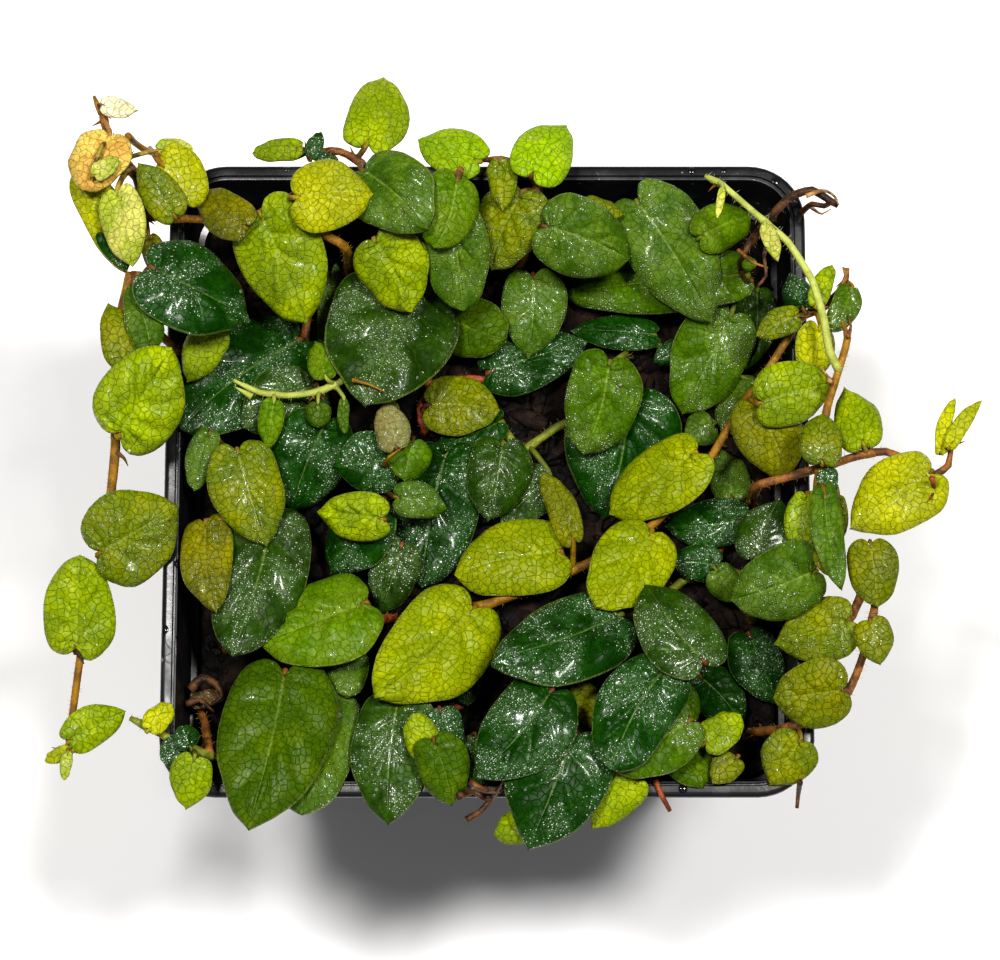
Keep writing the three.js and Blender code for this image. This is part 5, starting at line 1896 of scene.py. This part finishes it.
@dataclass
class NurseryPot:
    """The square pot: tapered body, collar, grooved lip, ledge, floor and drain holes."""

    corner_steps: int = 10
    drill_sides: int = 24
    crisp_angle: float = 38.0

    def _ring(self, half: float, corner: float, z: float) -> list[Vector]:
        """The points of a square with rounded corners, anticlockwise from above."""
        ring = []
        for quarter in range(4):
            side_x = 1 if quarter in (0, 3) else -1
            side_y = 1 if quarter < 2 else -1
            for step in range(self.corner_steps + 1):
                angle = (quarter + step / self.corner_steps) * math.pi / 2
                x = side_x * (half - corner) + corner * math.cos(angle)
                y = side_y * (half - corner) + corner * math.sin(angle)
                ring.append(Vector((x, y, z)))
        return ring

    @property
    def _profile(self) -> list[tuple[float, float, float]]:
        """Half width, corner radius and height from the underside, over the lip, down to the inner floor."""
        foot = POT_HEIGHT - COLLAR_HEIGHT
        rim = POT_WIDTH / 2
        body_top = rim - COLLAR_OVERHANG
        inner = rim - LIP_WIDTH
        ledge = body_top - WALL + 0.2
        lean = (body_top - BASE_WIDTH / 2) / foot
        mid = 0.5 * foot
        base = BASE_WIDTH / 2
        top = POT_HEIGHT

        def at_rim(inset: float, z: float) -> tuple[float, float, float]:
            """A row that is inset from the rim all round."""
            return rim - inset, RIM_CORNER - inset, z

        return [
            (base - 3.6, BASE_CORNER - 2.5, 0.5), (base - 3.2, BASE_CORNER - 2.2, 0.0),
            (base - 0.9, BASE_CORNER - 0.9, 0.0), (base - 0.25, BASE_CORNER - 0.25, 0.25),
            (base, BASE_CORNER, 0.9), (base + lean * mid, BASE_CORNER, mid),
            (body_top, RIM_CORNER - 2.6, foot), (body_top + 0.2, RIM_CORNER - 2.4, foot + 0.05),
            at_rim(1.8, foot + 0.15), at_rim(1.45, foot + 0.6), at_rim(0.95, top - 7.0),
            at_rim(0.5, top - 1.6), at_rim(0.08, top - 1.15), at_rim(0.0, top - 0.75), at_rim(0.1, top - 0.3),
            at_rim(0.4, top - 0.05), at_rim(0.75, top), at_rim(1.5, top),
            (rim - 1.65, RIM_CORNER - 1.6, top - 0.3), (rim - 1.85, RIM_CORNER - 1.7, top - 0.3),
            (rim - 1.95, RIM_CORNER - 1.8, top - 0.08), (inner - 0.05, RIM_CORNER - 2, top - 0.1),
            (inner - 0.2, RIM_CORNER - 2.1, top - 0.5), (inner - 0.9, RIM_CORNER - 2.8, foot + 1.9),
            (inner - 1.1, RIM_CORNER - 3.0, foot + 1.5), (ledge + 0.1, RIM_CORNER - 3.5, foot + 1.25),
            (ledge - 0.05, RIM_CORNER - 3.6, foot + 0.9),
            (base - WALL + 0.1, BASE_CORNER - 1.2, FLOOR_THICKNESS + 0.5),
            (base - WALL - 0.4, BASE_CORNER - 1.4, FLOOR_THICKNESS),
        ]

    def make(self) -> None:
        """Makes the pot's piece, which stands for its CAD node."""
        rings = [self._ring(*row) for row in self._profile]
        bm = bmesh.new()
        first = bmesh.ops.create_circle(bm, segments=len(rings[0]), radius=1.0)["verts"]
        for vert, place in zip(first, rings[0]):
            vert.co = place
        edges = list(dict.fromkeys(edge for vert in first for edge in vert.link_edges))
        bmesh.ops.edgeloop_fill(bm, edges=edges)
        for below, above in zip(rings, rings[1:]):
            ring, edges = grow_ring(bm, edges)
            homes = {tuple(round(c, 4) for c in a): b for a, b in zip(below, above)}
            for vert in ring:
                vert.co = homes[tuple(round(c, 4) for c in vert.co)]
        bmesh.ops.edgeloop_fill(bm, edges=edges)
        bmesh.ops.recalc_face_normals(bm, faces=bm.faces)
        self._drill(as_mesh(bm))

    def _drill(self, shell: bpy.types.Mesh) -> None:
        """Drills the drain holes through the floor and shows the pot.

        Args:
            shell: The pot's mesh without its holes.
        """
        bm = bmesh.new()
        for x in (-DRAIN_OFFSET, 0.0, DRAIN_OFFSET):
            for y in (-DRAIN_OFFSET, 0.0, DRAIN_OFFSET):
                if x or y:
                    bmesh.ops.create_cone(
                        bm, cap_ends=True, segments=self.drill_sides, depth=2 * FLOOR_THICKNESS + 2,
                        radius1=DRAIN_RADIUS, radius2=DRAIN_RADIUS,
                        matrix=Matrix.Translation((x, y, FLOOR_THICKNESS / 2)),
                    )
        drills = bpy.data.objects.new("drills", as_mesh(bm))
        blank = bpy.data.objects.new("blank", shell)
        for part in (drills, blank):
            link(part)
        cut = blank.modifiers.new("drain_holes", "BOOLEAN")
        cut.operation, cut.solver, cut.object = "DIFFERENCE", "EXACT", drills
        bpy.context.view_layer.update()
        drilled = bpy.data.meshes.new_from_object(blank.evaluated_get(bpy.context.evaluated_depsgraph_get()))
        for part in (drills, blank):
            spent = part.data
            bpy.data.objects.remove(part)
            bpy.data.meshes.remove(spent)
        drilled.materials.clear()
        piece = show("nursery_pot", drilled, (BLACK_PLASTIC,))
        piece.data.shade_flat()
        piece.data.shade_smooth()
        corners = piece.modifiers.new("crisp_edges", "EDGE_SPLIT")
        corners.split_angle = math.radians(self.crisp_angle)
        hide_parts("pot")


@dataclass
class SoilBed:
    """The peat that fills the pot, with loose crumbs and chips of bark on it."""

    cuts: int = 110
    crumbs: int = 1500
    chips: int = 170
    seed: int = 77

    @staticmethod
    def _height(x: np.ndarray, y: np.ndarray) -> np.ndarray:
        """The height of the soil's crumbly top."""
        wave = np.sin(0.37 * x + 1.3 * np.cos(0.21 * y)) * np.cos(0.29 * y - 0.4)
        fine = 0.22 * np.sin(1.9 * x + 0.7 * np.sin(1.3 * y)) * np.sin(2.1 * y + 0.9 * np.sin(1.7 * x))
        return SOIL_LEVEL + SOIL_RELIEF * wave + fine - 0.2

    def make(self) -> None:
        """Makes the bed, which stands for its CAD node, and what lies loose on it."""
        top_half = POT_WIDTH / 2 - COLLAR_OVERHANG - WALL + 0.2 - 0.45
        corner = RIM_CORNER - 3.8
        bm = bmesh.new()
        bmesh.ops.create_grid(bm, x_segments=self.cuts, y_segments=self.cuts, size=top_half)
        straight = top_half - corner
        for vert in bm.verts:
            x, y, _ = vert.co
            over_x, over_y = abs(x) - straight, abs(y) - straight
            if over_x > 0 and over_y > 0:
                reach = max(over_x, over_y)
                pull = reach / math.hypot(over_x, over_y)
                x = math.copysign(straight + over_x * pull, x)
                y = math.copysign(straight + over_y * pull, y)
            vert.co = (x, y, float(self._height(np.float64(x), np.float64(y))))
        ring, edges = grow_ring(bm, [edge for edge in bm.edges if edge.is_boundary])
        low = FLOOR_THICKNESS + 0.3
        narrow = (BASE_WIDTH / 2 - WALL - 0.5) / top_half
        for vert in ring:
            vert.co = (vert.co.x * narrow, vert.co.y * narrow, low)
        bmesh.ops.edgeloop_fill(bm, edges=edges)
        bmesh.ops.recalc_face_normals(bm, faces=bm.faces)
        piece = show("soil_bed", as_mesh(bm), (DAMP_PEAT,))
        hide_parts("soil")
        self._scatter(top_half)

    def _scatter(self, half: float) -> None:
        """Scatters crumbs of peat and chips of bark over the bed.

        Args:
            half: Half of the bed's width.
        """
        draw = np.random.default_rng(self.seed)
        for name, count, stretch, low, high in (
            ("peat_crumbs", self.crumbs, (1.0, 0.9, 0.8), 0.35, 1.0),
            ("bark_chips", self.chips, (2.6, 0.9, 0.45), 0.9, 2.0),
        ):
            bm = bmesh.new()
            bmesh.ops.create_icosphere(bm, subdivisions=1 if count > 1000 else 2, radius=1.0)
            for vert in bm.verts:
                vert.co *= draw.uniform(0.72, 1.15)
            bmesh.ops.scale(bm, vec=stretch, verts=bm.verts)
            shape = as_mesh(bm)
            places = []
            for _ in range(count):
                x, y = draw.uniform(-half + 1.5, half - 1.5, 2)
                size = draw.uniform(low, high)
                z = float(self._height(np.float64(x), np.float64(y))) + 0.15 * size
                turn = Matrix.Rotation(draw.uniform(0, 2 * math.pi), 4, "Z")
                turn = turn @ Matrix.Rotation(draw.uniform(-0.5, 0.5), 4, "X")
                places.append(Matrix.Translation((x, y, z)) @ turn @ Matrix.Scale(size, 4))
            show(name, stamped(shape, places), (DAMP_PEAT,))
            bpy.data.meshes.remove(shape)


@dataclass
class Studio:
    """The camera at the photograph's angle, the pale floor and the soft lights."""

    lens: float = 126.65
    sensor: float = 36.0
    near: float = 0.01
    floor_half: float = 1.5
    sky: float = 0.11
    warm_white: tuple = (1.0, 0.985, 0.95)
    light_aim: tuple = (0.0, 0.0, 0.08)
    lights: tuple = (
        ("left_key", (-0.24, 0.07, 1.06), 0.15, 8.4),
        ("right_key", (0.32, 0.07, 1.03), 0.15, 8.2),
        ("fill_light", (0.2, -0.75, 1.05), 0.9, 1.2),
    )

    def make(self) -> None:
        """Sets up the camera, the floor, the lights and the sky."""
        self._camera()
        self._floor()
        for light in self.lights:
            self._light(*light)
        world = bpy.data.worlds.new("studio_sky")
        bpy.context.scene.world = world
        world.use_nodes = True
        back = world.node_tree.nodes["Background"]
        back.inputs["Color"].default_value = (1.0, 1.0, 1.0, 1.0)
        back.inputs["Strength"].default_value = self.sky
        view = bpy.context.scene.view_settings
        view.view_transform = "Standard"
        view.look = "Medium High Contrast"
        LOG.info("studio ready")

    def _camera(self) -> None:
        """Creates the camera over the pot."""
        camera = bpy.data.cameras.new("camera")
        camera.lens = self.lens
        camera.sensor_width = self.sensor
        camera.clip_start = self.near
        stand = bpy.data.objects.new("camera", camera)
        sin, cos = math.sin(SHEET.elevation), math.cos(SHEET.elevation)
        aim = Vector(SHEET.aim)
        stand.location = (aim + Vector((0, -cos, sin)) * SHEET.distance) * MM
        stand.rotation_euler = (math.pi / 2 - SHEET.elevation, 0, 0)
        link(stand)
        bpy.context.scene.camera = stand

    def _floor(self) -> None:
        """Lays the floor under the pot."""
        bm = bmesh.new()
        bmesh.ops.create_grid(bm, x_segments=4, y_segments=4, size=self.floor_half)
        mesh = as_mesh(bm)
        mesh.materials.append(STUDIO_PAPER.material())
        floor = bpy.data.objects.new("floor", mesh)
        link(floor)

    def _light(self, name: str, place: tuple[float, float, float], size: float, power: float) -> None:
        """Hangs a square soft light that points at the pot.

        Args:
            name: The light's name.
            place: Where it hangs, in metres.
            size: Its side, in metres.
            power: Its power in watts.
        """
        light = bpy.data.lights.new(name, "AREA")
        light.shape = "SQUARE"
        light.size = size
        light.energy = power
        light.color = self.warm_white
        lamp = bpy.data.objects.new(name, light)
        lamp.location = place
        aim = Vector(self.light_aim) - Vector(place)
        lamp.rotation_euler = aim.to_track_quat("-Z", "Y").to_euler()
        link(lamp)


def main() -> None:
    """Builds the pot, the soil, the vines and the drops, and the studio round them."""
    logging.basicConfig(level=logging.INFO, format="%(name)s: %(message)s")
    Studio().make()
    NurseryPot().make()
    SoilBed().make()
    layering = Layering()
    maker = VineMaker()
    for plan in VINES:
        maker.make(layering.lay(plan))
    WaterDrops().make(maker.drops, layering.ground)
    DryScraps().make(layering.ground)


if __name__ == "__main__":
    main()
